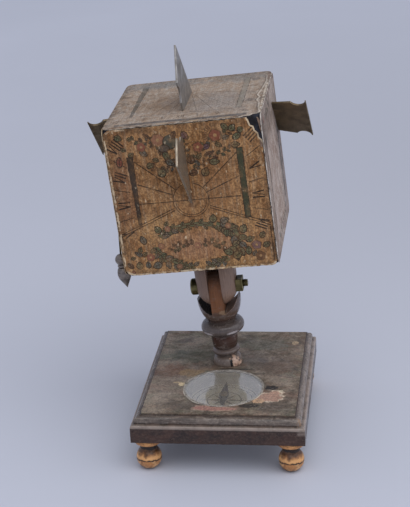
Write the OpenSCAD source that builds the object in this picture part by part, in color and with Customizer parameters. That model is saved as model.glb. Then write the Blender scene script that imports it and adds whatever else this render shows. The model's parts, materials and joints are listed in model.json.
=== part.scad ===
// Cube sundial: a wooden cube with five paper dials and brass gnomons, on a hinged
// pillar that stands on a moulded base with a compass let into it.
// All sizes are in millimetres and degrees. +Z is up and -Y is the side of the north dial.

/* [Base board] */
// Width of the base board, left to right
base_w = 80; // [76:1:110]
// Depth of the base board, front to back
base_d = 99; // [96:1:130]
// Height of the plain side below the moulding
side_h = 7.4; // [7:0.1:12]
// Height of the moulding above the plain side
moulding_h = 5.3; // [4.6:0.1:8]
// How far the moulding steps in to the top panel
moulding_inset = 4.1; // [3.6:0.1:5]
// Radius of the rounded nose above the side
nose_r = 1.3; // [0.8:0.1:1.6]
// Width of the flat quirk above the nose
quirk_w = 0.4; // [0.2:0.1:0.6]
// Height of the small riser behind the quirk
quirk_h = 0.8; // [0.4:0.1:1.2]
// Width of the groove beside the top panel
groove_w = 0.35; // [0.2:0.05:0.6]
// Depth of that groove below the panel
groove_h = 0.7; // [0.4:0.1:1]
// Thickness of the patterned paper on the panel
base_paper_t = 0.25; // [0.15:0.05:0.4]
// Strip of bare wood left round the patterned paper
base_paper_margin = 0.5; // [0.2:0.1:1.5]

/* [Feet] */
// Height of a foot, from the table to the base board
foot_h = 15.9; // [15:0.1:22]
// Diameter of the turned ball
foot_ball_d = 11.8; // [10.5:0.1:13]
// Diameter of the flat that the ball stands on
foot_flat_d = 4.4; // [3:0.1:6]
// Diameter of the collar under the board
foot_collar_d = 12.7; // [11:0.1:14]
// Height of the collar
foot_collar_h = 2.6; // [1.6:0.1:3.2]
// Radius of the collar's rounded lower edge
foot_collar_edge = 0.6; // [0.2:0.1:1]
// Diameter of the neck between collar and ball
foot_neck_d = 8; // [6.5:0.1:9]
// Diameter of the round tenon glued into the board
foot_tenon_d = 6; // [4:0.1:7]
// Length of that tenon
foot_tenon_h = 6; // [3:0.1:6.5]
// Gap between the collar and the outer side of the board
foot_edge_gap = 0.6; // [0.2:0.1:4]

/* [Compass] */
// Distance of the compass in front of the middle of the base
compass_front = 18.1; // [17:0.1:24]
// Diameter of the cover glass
glass_d = 37.2; // [30:0.1:37.6]
// Thickness of the cover glass
glass_t = 1.8; // [1:0.1:2.4]
// Width of the ledge that the glass sits on
glass_ledge = 1.8; // [1:0.1:3]
// Depth of the well, from the panel to its floor
well_depth = 8; // [7.4:0.1:9]
// Width of the paper strip that holds the glass down
strip_w = 1.3; // [1:0.1:2]
// How far that strip reaches over the glass
strip_overlap = 0.5; // [0.3:0.1:0.8]
// Thickness of the compass card
card_t = 0.6; // [0.3:0.1:1]
// Diameter of the steel pivot
pivot_d = 1.2; // [0.8:0.1:1.6]
// Height of the pivot point above the card
pivot_h = 3.2; // [2.9:0.1:3.4]
// Length of the pivot's pointed end
pivot_point_h = 1.4; // [1:0.1:1.8]
// How deep the pivot is pressed into the board
pivot_depth = 3; // [2:0.1:3.4]
// Gap between the needle's points and the wall of the well
needle_gap = 3.3; // [1:0.1:6]
// Width of the needle at its middle
needle_w = 4.6; // [4.2:0.1:6]
// Thickness of the needle
needle_t = 0.5; // [0.3:0.1:0.8]
// Diameter of the brass cap at the middle of the needle
cap_d = 3.4; // [2.8:0.1:4]
// Height of that cap
cap_h = 2.2; // [2.1:0.1:2.4]
// Thickness of the cap above the pivot's point
cap_roof = 0.5; // [0.3:0.1:0.8]
// How far the cap's flange stands out under the needle
cap_flange_w = 0.5; // [0.3:0.1:0.8]
// Thickness of that flange
cap_flange_t = 0.4; // [0.2:0.1:0.6]

/* [Pillar] */
// Distance of the pillar to the left of the middle of the base
pillar_left = 1; // [0:0.1:4]
// Distance of the pillar behind the middle of the base
pillar_back = 10.7; // [10.5:0.1:20]
// Lean of the pillar to the left
pillar_lean = 5.1; // [0:0.1:7]
// Height of the hinge axis above the base, along the pillar
hinge_height = 40.8; // [40:0.1:50]
// Diameter of the rounded foot
dome_d = 14.8; // [13:0.1:16]
// Height of the rounded foot
dome_h = 4.4; // [3:0.1:4.8]
// Diameter of the waist above the foot
waist_d = 9.6; // [8.8:0.1:10.2]
// Diameter of the small ring above the waist
ring_d = 13.2; // [12:0.1:15]
// Height of the middle of the small ring
ring_z = 6.9; // [6.6:0.1:7.4]
// Thickness of the small ring
ring_h = 2.6; // [1.8:0.1:3]
// Diameter of the cup at its top
cup_d = 12.9; // [12:0.1:14]
// Diameter of the cup at its foot
cup_foot_d = 10.4; // [9.5:0.1:11]
// Height of the straight brow at the top of the cup
cup_brow_h = 1.2; // [0.6:0.1:2]
// Diameter of the big ring
torus_d = 21; // [18:0.1:23]
// Height of the middle of the big ring
torus_z = 19.9; // [18.5:0.1:21]
// Thickness of the big ring
torus_h = 6; // [4:0.1:6.4]
// Height of the neck under the tulip
neck_h = 1.2; // [0.6:0.1:2]
// Diameter of the neck under the tulip
neck_d = 13.8; // [12:0.1:15]
// Diameter of the tulip at its rim
tulip_d = 21; // [20.8:0.1:23]
// How far the rim lies below the hinge axis
rim_drop = 6; // [5.5:0.1:7]
// Radius of the hollow sawn across the tulip
hollow_r = 9.9; // [9.6:0.05:10.1]
// How far the middle of the hollow lies below the hinge axis
hollow_drop = 2.6; // [2:0.1:3.5]
// Thickness of the tongue that the fork turns on
tongue_t = 6.1; // [4:0.1:7]
// Radius of the rounded end of the tongue
tongue_r = 8.4; // [6:0.1:8.5]
// Diameter of the tenon glued into the base board
pillar_tenon_d = 8; // [6:0.1:9]
// Length of that tenon
pillar_tenon_h = 9; // [5:0.1:9.5]

/* [Fork] */
// Diameter of the turned fork under the cube
fork_d = 20; // [19:0.1:20.4]
// Distance from the hinge axis to the underside of the cube
cube_lift = 22.7; // [21:0.1:30]
// Wood left above the slot
fork_crown = 3.2; // [2:0.1:6]
// Gap between the tongue and each cheek
cheek_gap = 0.15; // [0.05:0.05:0.3]
// Diameter of the tenon glued into the cube
fork_tenon_d = 12; // [8:0.1:14]
// Length of that tenon
fork_tenon_h = 15; // [8:0.1:25]

/* [Hinge bolt] */
// Diameter of the bolt
bolt_d = 3.2; // [2.5:0.1:4]
// Diameter of the round head
bolt_head_d = 8; // [6.5:0.1:8.6]
// Thickness of the head
bolt_head_t = 3.5; // [2:0.1:4]
// Width across the flats of the square nut
nut_w = 6.2; // [5.5:0.1:6.4]
// Thickness of the nut
nut_t = 3.5; // [2.5:0.1:4]
// Length of thread that stands out of the nut
bolt_end = 2.3; // [1:0.1:5]
// Distance from the middle of the fork to each seat of head and nut
seat_x = 9.1; // [8.6:0.05:9.2]
// Radial clearance of the bolt in the tongue
bolt_clearance = 0.06; // [0.03:0.01:0.1]
// Chamfer on the edge of the head
bolt_head_edge = 0.6; // [0.2:0.1:1]
// Gap round the head and the nut in their seats
spot_gap = 0.3; // [0.2:0.1:0.6]

/* [Cube] */
// Edge length of the wooden cube
cube_size = 70; // [66:1:90]
// Worn chamfer along the edges of the cube
cube_chamfer = 0.5; // [0.3:0.1:1.5]
// How far wear has rounded each corner of the cube, along its edges
corner_wear = 3.4; // [1.5:0.1:6]
// Tilt of the cube on its hinge, towards the front
cube_tilt = 1.1; // [0:0.1:3]
// Thickness of a dial paper
paper_t = 0.3; // [0.15:0.05:0.4]
// Gap between a dial paper and the worn edges and corners
paper_margin = 0.2; // [0:0.1:3]

/* [Gnomons] */
// Latitude that the dials are laid out for
latitude = 49; // [44:0.5:54]
// Thickness of the brass plates
plate_t = 0.9; // [0.6:0.1:1.2]
// Depth of the tang let into the cube
tang_depth = 4; // [2:0.1:6]
// How far a tang is shorter than the root of its plate, at each end
tang_inset = 2; // [1:0.1:4]
// Gap between a plate and its slit, on each side
slit_gap = 0.05; // [0.02:0.01:0.1]
// Distance of the top dial's centre behind the middle of the cube
top_centre_back = 12.5; // [8:0.1:16]
// Length of the top plate's root
top_root = 30; // [28:0.1:32]
// Reach of the top plate's point, from the dial's centre
top_reach = 25.5; // [22:0.1:27]
// Distance of the top plate to the left of the middle
top_left = 1; // [0:0.1:3]
// How far the top plate's horn stands out past its point
top_horn_out = 9; // [6:0.1:11]
// Height of that horn
top_horn_up = 14.7; // [13:0.1:18]
// Radius of the hollow between horn and root
top_hollow_r = 6.3; // [5:0.1:7]
// Distance of the north dial's centre below the middle of its face
north_centre_low = 2.5; // [0:0.1:8]
// Length of the north and south plates' roots
wall_root = 31.5; // [30:0.1:34]
// How far the north and south plates stand out
wall_reach = 22; // [20:0.1:23]
// How far the north and south plates' crests stand past their points
wall_crest_up = 9.7; // [8:0.1:11]
// How far those crests stand out
wall_crest_out = 13.2; // [12:0.1:15]
// Radius of the hollow between crest and root
wall_hollow_r = 5; // [4:0.1:6]
// Distance of the south dial's centre above the middle of its face
south_centre_high = 24; // [15:0.1:28]
// Length of the east and west plates' roots
side_root = 24; // [22:0.1:28]
// Length of the east and west plates' outer edges
side_edge = 30; // [28:0.1:34]
// How far the east and west plates stand out
side_reach = 16.8; // [15:0.1:20]
// Radius of the hollows in their ends
side_hollow_r = 3.5; // [2.5:0.1:4]
// Distance of those hollows from the outer edge
side_hollow_in = 4; // [3.5:0.1:6]
// Distance of the east and west plates behind the middle of the cube
side_back = 21; // [16:0.1:21]
// Height of the east and west plates above the middle of the cube
side_up = 17; // [13:0.1:18]
// How far the east and west plates droop
side_droop = 10; // [0:0.5:12]

/* [Plumb bob] */
// Distance of the peg in front of the middle of the east face
peg_front = 19.7; // [10:0.1:25]
// Height of the peg above the middle of the east face
peg_up = 4; // [0:0.1:12]
// Diameter of the peg
peg_d = 1.6; // [1.2:0.1:2.5]
// How deep the peg is driven into the cube
peg_depth = 8; // [5:0.1:15]
// Diameter of the peg's head
peg_head_d = 3; // [2.6:0.1:4]
// Thickness of the peg's head
peg_head_t = 0.8; // [0.5:0.1:1.2]
// Diameter of the wire that the bob hangs on
wire_d = 0.8; // [0.6:0.1:1]
// Radial clearance of the wire's eye on the peg
eye_clearance = 0.1; // [0.05:0.01:0.1]
// Play of the eye along the peg, on each side
eye_play = 0.4; // [0.3:0.1:1]
// Gap between the bob's ball and the east dial
bob_gap = 1.6; // [0.5:0.1:5]
// Tilt of the bob on its bent wire, with the point to the right
bob_tilt = 9; // [0:0.5:12]
// Distance from the peg to the middle of the bob's ball
hang_length = 36.4; // [30:0.1:45]
// Diameter of the bob's ball
bob_ball_d = 5.5; // [4.5:0.1:6]
// Diameter of the bob's body
bob_d = 6.3; // [5:0.1:7]
// Height of the bob's cone
bob_cone_h = 5.2; // [4:0.1:7]
// Height of the bob's body
bob_body_h = 5.3; // [4:0.1:7]
// Diameter of the ring above the body
bob_ring_d = 4.5; // [3.8:0.1:5]
// Thickness of that ring
bob_ring_h = 1.6; // [1:0.1:2]
// Diameter of the neck under the ball
bob_neck_d = 3.3; // [2.5:0.1:3.6]

/* [Hidden] */

// Smoothness of round surfaces, and overshoot of cuts
$fn = 64;
over = 1;

// Glue joints, and the fit of bolt and wire in their own body
glue_gap = 0.05;
close_fit = 0.02;

// Levels of the base
board_z = foot_h;
side_top_z = board_z + side_h;
panel_z = side_top_z + moulding_h;
panel_w = base_w - 2 * moulding_inset;
panel_d = base_d - 2 * moulding_inset;

// Compass, from the panel down
compass_pos = [0, -compass_front, panel_z];
rebate_d = glass_d + 2 * glue_gap;
well_d = glass_d - 2 * glass_ledge;
card_d = well_d - 2 * glue_gap;
card_top = -well_depth + card_t;
strip_inner_d = glass_d - 2 * strip_overlap;
strip_outer_d = strip_inner_d + 2 * strip_w;
point_gap = 0.1;
point_flat_d = 0.1;
recess_slack = 0.3;
recess_mouth = 0.3;
cap_top = card_top + pivot_h + point_gap + cap_roof;
needle_drop = 1.3;
needle_l = well_d - 2 * needle_gap;

// Pillar, fork and cube
foot_point = [-pillar_left, pillar_back, panel_z];
rim_z = hinge_height - rim_drop;
neck_z = torus_z + torus_h / 2 + neck_h;
cup_top_z = torus_z - torus_h / 2;
cup_quirk = 0.2;
tulip_flare = 62;
fork_r = fork_d / 2;
slot_w = tongue_t + 2 * cheek_gap;
half = cube_size / 2;
face = half + paper_t;
corner_r = sqrt(2 * half * half + (half - corner_wear) * (half - corner_wear));
cube_mid = cube_lift + half;
wall_tip_up = wall_reach * tan(latitude);
top_tip_up = top_reach * tan(latitude);
hollow_out = 0.7;
wall_seat = paper_t + slit_gap;
side_seat = (wall_seat + plate_t / 2 * sin(side_droop)) / cos(side_droop);

// Where a point of the cube's own frame lies, for the bounding box and the plumb line
function leaned(p) = [
    p.x * cos(pillar_lean) - p.z * sin(pillar_lean), p.y,
    p.x * sin(pillar_lean) + p.z * cos(pillar_lean)];
function tilted(p) = [
    p.x, p.y * cos(cube_tilt) - p.z * sin(cube_tilt),
    p.y * sin(cube_tilt) + p.z * cos(cube_tilt)];
function cube_point(p) =
    foot_point + leaned([0, 0, hinge_height] + tilted(p + [0, 0, cube_mid]));

// A corner of the east (-1) or west (1) plate, by its place along the root and outwards
function side_corner(side, along, out) = [
    side * (half + out * cos(side_droop)),
    side_back - along * cos(latitude) - out * sin(side_droop) * sin(latitude),
    side_up + along * sin(latitude) - out * sin(side_droop) * cos(latitude)];

// The footprint of everything, so that the origin lies under its middle
east_x = min([for (s = [-1, 1]) cube_point(side_corner(-1, s * side_edge / 2, side_reach)).x]);
west_x = max([for (s = [-1, 1]) cube_point(side_corner(1, s * side_edge / 2, side_reach)).x]);
north_y = cube_point([0, -half - wall_reach, wall_tip_up - north_centre_low]).y;
south_y = cube_point([0, half + wall_reach, south_centre_high - wall_tip_up]).y;
box_x = [min(east_x, -base_w / 2), max(west_x, base_w / 2)];
box_y = [min(north_y, -base_d / 2), max(south_y, base_d / 2)];
shift = [-(box_x[0] + box_x[1]) / 2, -(box_y[0] + box_y[1]) / 2, 0];

// Plumb line
eye_reach = wire_d / 2 + eye_play;
eye_out = max(eye_reach, bob_ball_d / 2 + bob_gap - hang_length * sin(pillar_lean));
eye_x = -face - eye_out;
eye_point = cube_point([eye_x, -peg_front, peg_up]);
eye_r = peg_d / 2 + eye_clearance + wire_d / 2;
wire_depth = 1.5;
ball_foot_a = acos(bob_neck_d / bob_ball_d);
bob_length = bob_cone_h + bob_body_h + bob_ring_h + bob_ball_d / 2 * sin(ball_foot_a);
bob_edge = 0.3;
bob_wall_h = 1.6;

// Joint axes and rest points, for whoever poses the parts
hinge_point = shift + foot_point + leaned([0, 0, hinge_height]);
echo(shift = shift, hinge = hinge_point, hinge_axis = leaned([1, 0, 0]));
echo(needle = shift + compass_pos + [0, 0, card_top], peg = shift + eye_point);
echo(box_x = box_x, box_y = box_y, top = cube_point([0, top_centre_back - top_reach, half + top_tip_up]));

// Points along an elliptical arc
function arc(centre, radii, from, to, steps = 10) = [
    for (i = [0 : steps])
        let (a = from + (to - from) * i / steps)
            centre + [radii.x * cos(a), radii.y * sin(a)]];

// Frames that the pieces are placed in

module on_origin() {
    translate(shift) children();
}

module on_compass() {
    on_origin() translate(compass_pos) children();
}

module on_pillar() {
    on_origin() translate(foot_point) rotate([0, -pillar_lean, 0]) children();
}

module on_fork() {
    on_pillar() translate([0, 0, hinge_height]) rotate([cube_tilt, 0, 0]) children();
}

module on_cube() {
    on_fork() translate([0, 0, cube_mid]) children();
}

// Base

// Section of the moulded edge, as steps in from the side and up from the board's underside
function moulding_points() = let (
    nose_top = side_h + nose_r,
    band_foot = [nose_r + quirk_w, nose_top + quirk_h],
    band_top = [moulding_inset - groove_w, side_h + moulding_h - groove_h]
) concat(
    [[0, 0], [0, side_h]],
    arc([nose_r, side_h], [nose_r, nose_r], 180, 90, 6),
    [[nose_r + quirk_w, nose_top], band_foot],
    arc([band_top.x, band_foot.y], band_top - band_foot, 180, 90, 6),
    [[moulding_inset, band_top.y], [moulding_inset, side_h + moulding_h]]);

module moulded_bar(width, length) {
    points = moulding_points();
    count = len(points);
    right = [for (p = points) [width / 2 - p.x, p.y]];
    left = [for (i = [1 : count]) [points[count - i].x - width / 2, points[count - i].y]];
    rotate([90, 0, 0]) linear_extrude(length, center = true) polygon(concat(right, left));
}

module at_foot(x_side, y_side) {
    from_edge = foot_collar_d / 2 + foot_edge_gap;
    translate([x_side * (base_w / 2 - from_edge), y_side * (base_d / 2 - from_edge), 0]) children();
}

module pillar_tenon(extra) {
    translate([0, 0, -pillar_tenon_h - extra])
        cylinder(d = pillar_tenon_d + 2 * extra, h = pillar_tenon_h + dome_h / 2 + extra);
}

module base_board() {
    color("#4a4140") difference() {
        on_origin() translate([0, 0, board_z]) intersection() {
            moulded_bar(base_w, base_d + over);
            rotate([0, 0, 90]) moulded_bar(base_d, base_w + over);
        }
        on_compass() {
            translate([0, 0, -glass_t]) cylinder(d = rebate_d, h = glass_t + over);
            translate([0, 0, -well_depth]) cylinder(d = well_d, h = well_depth);
            translate([0, 0, -well_depth - pivot_depth])
                cylinder(d = pivot_d + 2 * close_fit, h = well_depth);
        }
        for (x_side = [-1, 1], y_side = [-1, 1])
            on_origin() at_foot(x_side, y_side) translate([0, 0, board_z - over])
                cylinder(d = foot_tenon_d + 2 * glue_gap, h = foot_tenon_h + glue_gap + over);
        on_pillar() pillar_tenon(glue_gap);
    }
}

module base_top_paper() {
    color("#5f5753") difference() {
        on_origin() translate([0, 0, panel_z]) linear_extrude(base_paper_t)
            square([panel_w - 2 * base_paper_margin, panel_d - 2 * base_paper_margin], center = true);
        on_compass() translate([0, 0, -over]) cylinder(d = strip_outer_d + 2 * glue_gap, h = 2 * over);
        on_pillar() translate([0, 0, -over]) cylinder(d = pillar_tenon_d + 4 * glue_gap, h = 3 * over);
    }
}

// Section of a turned foot, from its flat up to the top of the collar
function foot_points() = let (
    ball_r = foot_ball_d / 2,
    flat_r = foot_flat_d / 2,
    ball_z = sqrt(ball_r * ball_r - flat_r * flat_r),
    neck_r = foot_neck_d / 2,
    neck_a = acos(neck_r / ball_r),
    collar_r = foot_collar_d / 2,
    collar_z = foot_h - foot_collar_h,
    edge = foot_collar_edge
) concat(
    [[0, 0]],
    arc([0, ball_z], [ball_r, ball_r], asin(-ball_z / ball_r), neck_a, 16),
    [[neck_r, collar_z], [collar_r - edge, collar_z]],
    arc([collar_r - edge, collar_z + edge], [edge, edge], -90, 0, 4),
    [[collar_r, foot_h], [0, foot_h]]);

module foot(x_side, y_side) {
    color("#a5795a") on_origin() at_foot(x_side, y_side) {
        rotate_extrude() polygon(foot_points());
        translate([0, 0, foot_h - over]) cylinder(d = foot_tenon_d, h = foot_tenon_h + over);
    }
}

module foot_front_left() foot(-1, -1);
module foot_front_right() foot(1, -1);
module foot_back_left() foot(-1, 1);
module foot_back_right() foot(1, 1);

// Compass

module compass_card() {
    color("#c9bfa2") on_compass() translate([0, 0, -well_depth]) difference() {
        cylinder(d = card_d, h = card_t);
        translate([0, 0, -over]) cylinder(d = pivot_d + 2 * glue_gap, h = card_t + 2 * over);
    }
}

module compass_pivot() {
    shank_h = card_top + pivot_h - pivot_point_h + well_depth + pivot_depth;
    color("#8d8f94") on_compass() translate([0, 0, -well_depth - pivot_depth]) {
        cylinder(d = pivot_d, h = shank_h);
        translate([0, 0, shank_h]) cylinder(d1 = pivot_d, d2 = point_flat_d, h = pivot_point_h);
    }
}

module compass_needle() {
    seat_z = cap_top - needle_drop;
    color("#2f3644") on_compass() translate([0, 0, seat_z]) difference() {
        linear_extrude(needle_t) polygon([
            [0, needle_l / 2], [needle_w / 2, 0], [0, -needle_l / 2], [-needle_w / 2, 0]]);
        translate([0, 0, -over]) cylinder(d = cap_d + 2 * close_fit, h = needle_t + 2 * over);
    }
}

module needle_cap() {
    recess_d = pivot_d + 2 * recess_slack;
    flange_z = cap_top - needle_drop - cap_flange_t;
    color("#a8894a") on_compass() difference() {
        union() {
            translate([0, 0, cap_top - cap_h]) cylinder(d = cap_d, h = cap_h);
            translate([0, 0, flange_z]) cylinder(d = cap_d + 2 * cap_flange_w, h = cap_flange_t);
        }
        translate([0, 0, cap_top - cap_h - over]) cylinder(d = recess_d, h = over + recess_mouth);
        translate([0, 0, cap_top - cap_h])
            cylinder(d1 = recess_d, d2 = 2 * point_flat_d, h = cap_h - cap_roof);
    }
}

module compass_glass() {
    color("#dfe6e6", 0.4) on_compass() translate([0, 0, -glass_t]) cylinder(d = glass_d, h = glass_t);
}

module glazing_strip() {
    color("#c8bda6") on_compass() difference() {
        cylinder(d = strip_outer_d, h = base_paper_t);
        translate([0, 0, -over]) cylinder(d = strip_inner_d, h = base_paper_t + 2 * over);
    }
}

// Pillar and fork

// Section of the turned pillar, from below the base paper up to the rim of the tulip
function pillar_points() = let (
    waist_r = waist_d / 2,
    ring_r = ring_h / 2,
    ring_top = ring_z + ring_r,
    cup_foot_r = cup_foot_d / 2,
    cup_brow_z = cup_top_z - cup_brow_h,
    torus_r = torus_h / 2,
    tulip_rx = (tulip_d - neck_d) / 2 / (1 - cos(tulip_flare)),
    tulip_ry = (rim_z - neck_z) / sin(tulip_flare)
) concat(
    [[0, -2 * over], [dome_d / 2, -2 * over]],
    arc([waist_r, 0], [dome_d / 2 - waist_r, dome_h], 0, 90, 8),
    [[waist_r, ring_z - ring_r]],
    arc([ring_d / 2 - ring_r, ring_z], [ring_r, ring_r], -90, 90, 8),
    arc([cup_foot_r, cup_brow_z], [cup_d / 2 - cup_foot_r, cup_brow_z - ring_top - cup_quirk], -90, 0, 8),
    [[cup_d / 2, cup_top_z]],
    arc([torus_d / 2 - torus_r, torus_z], [torus_r, torus_r], -90, 90, 12),
    [[neck_d / 2, torus_z + torus_r]],
    arc([tulip_d / 2 - tulip_rx, rim_z], [tulip_rx, tulip_ry], -tulip_flare, 0, 10),
    [[0, rim_z]]);

module tongue() {
    reach_down = hollow_drop + hollow_r + over;
    rotate([0, 90, 0]) cylinder(r = tongue_r, h = tongue_t, center = true);
    translate([-tongue_t / 2, -tongue_r, -reach_down]) cube([tongue_t, 2 * tongue_r, reach_down]);
}

module pillar() {
    color("#5b3a30") {
        difference() {
            on_pillar() difference() {
                union() {
                    difference() {
                        rotate_extrude() polygon(pillar_points());
                        translate([0, 0, hinge_height - hollow_drop]) rotate([90, 0, 0])
                            cylinder(r = hollow_r, h = tulip_d + 2 * over, center = true);
                    }
                    translate([0, 0, hinge_height]) tongue();
                }
                translate([0, 0, hinge_height]) rotate([0, 90, 0])
                    cylinder(d = bolt_d + 2 * bolt_clearance, h = tongue_t + 2 * over, center = true);
            }
            on_origin() translate(foot_point + [0, 0, base_paper_t - 5 * over])
                cylinder(d = 2 * dome_d, h = 5 * over);
        }
        on_pillar() pillar_tenon(0);
    }
}

module fork_block() {
    spot_d = max(bolt_head_d, nut_w * sqrt(2)) + 2 * spot_gap;
    color("#6a5048") on_fork() difference() {
        union() {
            rotate_extrude() polygon(concat(
                arc([0, 0], [fork_r, fork_r], -90, 0, 16), [[fork_r, cube_lift], [0, cube_lift]]));
            cylinder(d = fork_tenon_d, h = cube_lift + fork_tenon_h);
        }
        translate([-slot_w / 2, -fork_d, -fork_d])
            cube([slot_w, 2 * fork_d, fork_d + cube_lift - fork_crown]);
        rotate([0, 90, 0]) cylinder(d = bolt_d + 2 * close_fit, h = 2 * fork_d, center = true);
        for (side = [0, 180])
            rotate([0, 0, side]) translate([seat_x, 0, 0]) rotate([0, 90, 0])
                cylinder(d = spot_d, h = fork_r);
    }
}

module hinge_bolt() {
    edge = bolt_head_edge;
    color("#8a7443") on_fork() rotate([0, 90, 0]) {
        translate([0, 0, -seat_x - bolt_head_t]) {
            cylinder(d1 = bolt_head_d - 2 * edge, d2 = bolt_head_d, h = edge);
            translate([0, 0, edge]) cylinder(d = bolt_head_d, h = bolt_head_t - edge);
        }
        translate([0, 0, -seat_x - over]) cylinder(d = bolt_d, h = 2 * seat_x + over + nut_t + bolt_end);
    }
}

module hinge_nut() {
    color("#8a7443") on_fork() translate([seat_x, 0, 0]) rotate([0, 90, 0]) difference() {
        translate([-nut_w / 2, -nut_w / 2, 0]) cube([nut_w, nut_w, nut_t]);
        translate([0, 0, -over]) cylinder(d = bolt_d + 2 * close_fit, h = nut_t + 2 * over);
    }
}

// Gnomons, each drawn flat with its root on the X axis and its tang below

module tang(from, to, gap) {
    translate([from + tang_inset - gap, -tang_depth - gap])
        square([to - from - 2 * tang_inset + 2 * gap, tang_depth + gap + paper_t + over]);
}

module top_outline() {
    horn = [top_reach + top_horn_out, top_horn_up];
    difference() {
        polygon([[0, 0], [top_reach, top_tip_up], horn, [top_root, 0]]);
        translate([top_root + hollow_out + top_hollow_r, top_horn_up / 2]) circle(r = top_hollow_r);
    }
}

module wall_outline() {
    crest = [wall_tip_up + wall_crest_up, wall_crest_out];
    difference() {
        polygon([[0, 0], [wall_tip_up, wall_reach], crest, [wall_root, 0]]);
        translate([wall_root + wall_hollow_r, wall_crest_out / 2 + hollow_out]) circle(r = wall_hollow_r);
    }
}

module side_outline() {
    difference() {
        polygon([
            [-side_root / 2, 0], [-side_edge / 2, side_reach],
            [side_edge / 2, side_reach], [side_root / 2, 0]]);
        for (end = [-1, 1])
            translate([end * side_edge / 2, side_reach - side_hollow_in]) circle(r = side_hollow_r);
    }
}

module plate(gap = 0) {
    linear_extrude(plate_t + 2 * gap, center = true) children();
}

// The part of a plate that shows, cut off where it sits on the paper
module blade(seat) {
    plate() intersection() {
        children();
        translate([-cube_size, seat]) square(2 * cube_size);
    }
}

// Places of the plates: the root line on each face, standing square to it

module on_top_root() {
    on_cube() translate([-top_left, top_centre_back, half]) rotate([0, 0, -90]) rotate([90, 0, 0]) children();
}

module on_north_root() {
    on_cube() translate([0, -half, -north_centre_low]) rotate([0, 0, 180]) rotate([0, -90, 0]) children();
}

module on_south_root() {
    on_cube() translate([0, half, south_centre_high]) rotate([0, 90, 0]) children();
}

module on_side_root(side) {
    on_cube() mirror([side < 0 ? 1 : 0, 0, 0]) translate([half, side_back, side_up])
        rotate([-latitude, 0, 0]) rotate([0, 0, -90]) rotate([-side_droop, 0, 0]) children();
}

module top_tang(gap) tang(0, top_root, gap);
module wall_tang(gap) tang(0, wall_root, gap);
module side_tang(gap) tang(-side_root / 2, side_root / 2, gap);

module top_gnomon() {
    color("#77746f") on_top_root() {
        blade(wall_seat) top_outline();
        plate() top_tang(0);
    }
}

module wall_plate() {
    color("#61544a") {
        blade(wall_seat) wall_outline();
        plate() wall_tang(0);
    }
}

module north_gnomon() {
    on_north_root() wall_plate();
}

module south_gnomon() {
    on_south_root() wall_plate();
}

module side_plate() {
    color("#41352a") {
        blade(side_seat) side_outline();
        plate() side_tang(0);
    }
}

module east_gnomon() {
    on_side_root(-1) side_plate();
}

module west_gnomon() {
    on_side_root(1) side_plate();
}

// Everything that is cut into the cube and its papers for the plates and the peg
module cube_cuts() {
    on_top_root() plate(slit_gap) top_tang(slit_gap);
    on_north_root() plate(slit_gap) wall_tang(slit_gap);
    on_south_root() plate(slit_gap) wall_tang(slit_gap);
    for (side = [-1, 1]) on_side_root(side) plate(slit_gap) side_tang(slit_gap);
    on_cube() translate([-half - paper_t - over, -peg_front, peg_up]) rotate([0, 90, 0])
        cylinder(d = peg_d + 2 * close_fit, h = peg_depth + paper_t + over + glue_gap);
}

// Cube and dial papers

module chamfered_bar() {
    flat = half - cube_chamfer;
    linear_extrude(cube_size + over, center = true) polygon([
        [half, -flat], [half, flat], [flat, half], [-flat, half],
        [-half, flat], [-half, -flat], [-flat, -half], [flat, -half]]);
}

module cube_block() {
    color("#3b332c") difference() {
        on_cube() intersection() {
            chamfered_bar();
            rotate([90, 0, 0]) chamfered_bar();
            rotate([0, 90, 0]) chamfered_bar();
            sphere(r = corner_r, $fn = 128);
        }
        on_fork() translate([0, 0, cube_lift - over])
            cylinder(d = fork_tenon_d + 2 * glue_gap, h = fork_tenon_h + glue_gap + over);
        cube_cuts();
    }
}

module sheet() {
    straight = half - cube_chamfer - paper_margin;
    corner = corner_wear + cube_chamfer;
    middle = straight - corner;
    translate([0, 0, half]) linear_extrude(paper_t) union() {
        square([2 * straight, 2 * middle], center = true);
        square([2 * middle, 2 * straight], center = true);
        for (x = [-middle, middle], y = [-middle, middle]) translate([x, y]) circle(r = corner);
    }
}

module dial_paper(turn) {
    difference() {
        on_cube() rotate(turn) sheet();
        cube_cuts();
    }
}

module north_dial_paper() {
    color("#7c6249") dial_paper([90, 0, 0]);
}

module south_dial_paper() {
    color("#7c6249") dial_paper([-90, 0, 0]);
}

module east_dial_paper() {
    color("#7c6a58") dial_paper([0, -90, 0]);
}

module west_dial_paper() {
    color("#8f817c") dial_paper([0, 90, 0]);
}

module top_dial_paper() {
    color("#88796c") dial_paper([0, 0, 0]);
}

// Plumb bob

module plumb_peg() {
    color("#8a7443") on_cube() translate([-half + peg_depth, -peg_front, peg_up]) rotate([0, -90, 0]) {
        reach = peg_depth + paper_t + eye_out + eye_reach + peg_head_t;
        cylinder(d = peg_d, h = reach);
        translate([0, 0, reach - peg_head_t]) cylinder(d = peg_head_d, h = peg_head_t);
    }
}

module plumb_wire() {
    color("#8a7443") {
        on_cube() translate([eye_x, -peg_front, peg_up]) rotate([0, 90, 0])
            rotate_extrude() translate([eye_r, 0]) circle(d = wire_d);
        on_origin() translate(eye_point - [0, 0, hang_length - bob_ball_d / 2 + wire_depth])
            cylinder(d = wire_d, h = hang_length - bob_ball_d / 2 + wire_depth - eye_r);
    }
}

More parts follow.
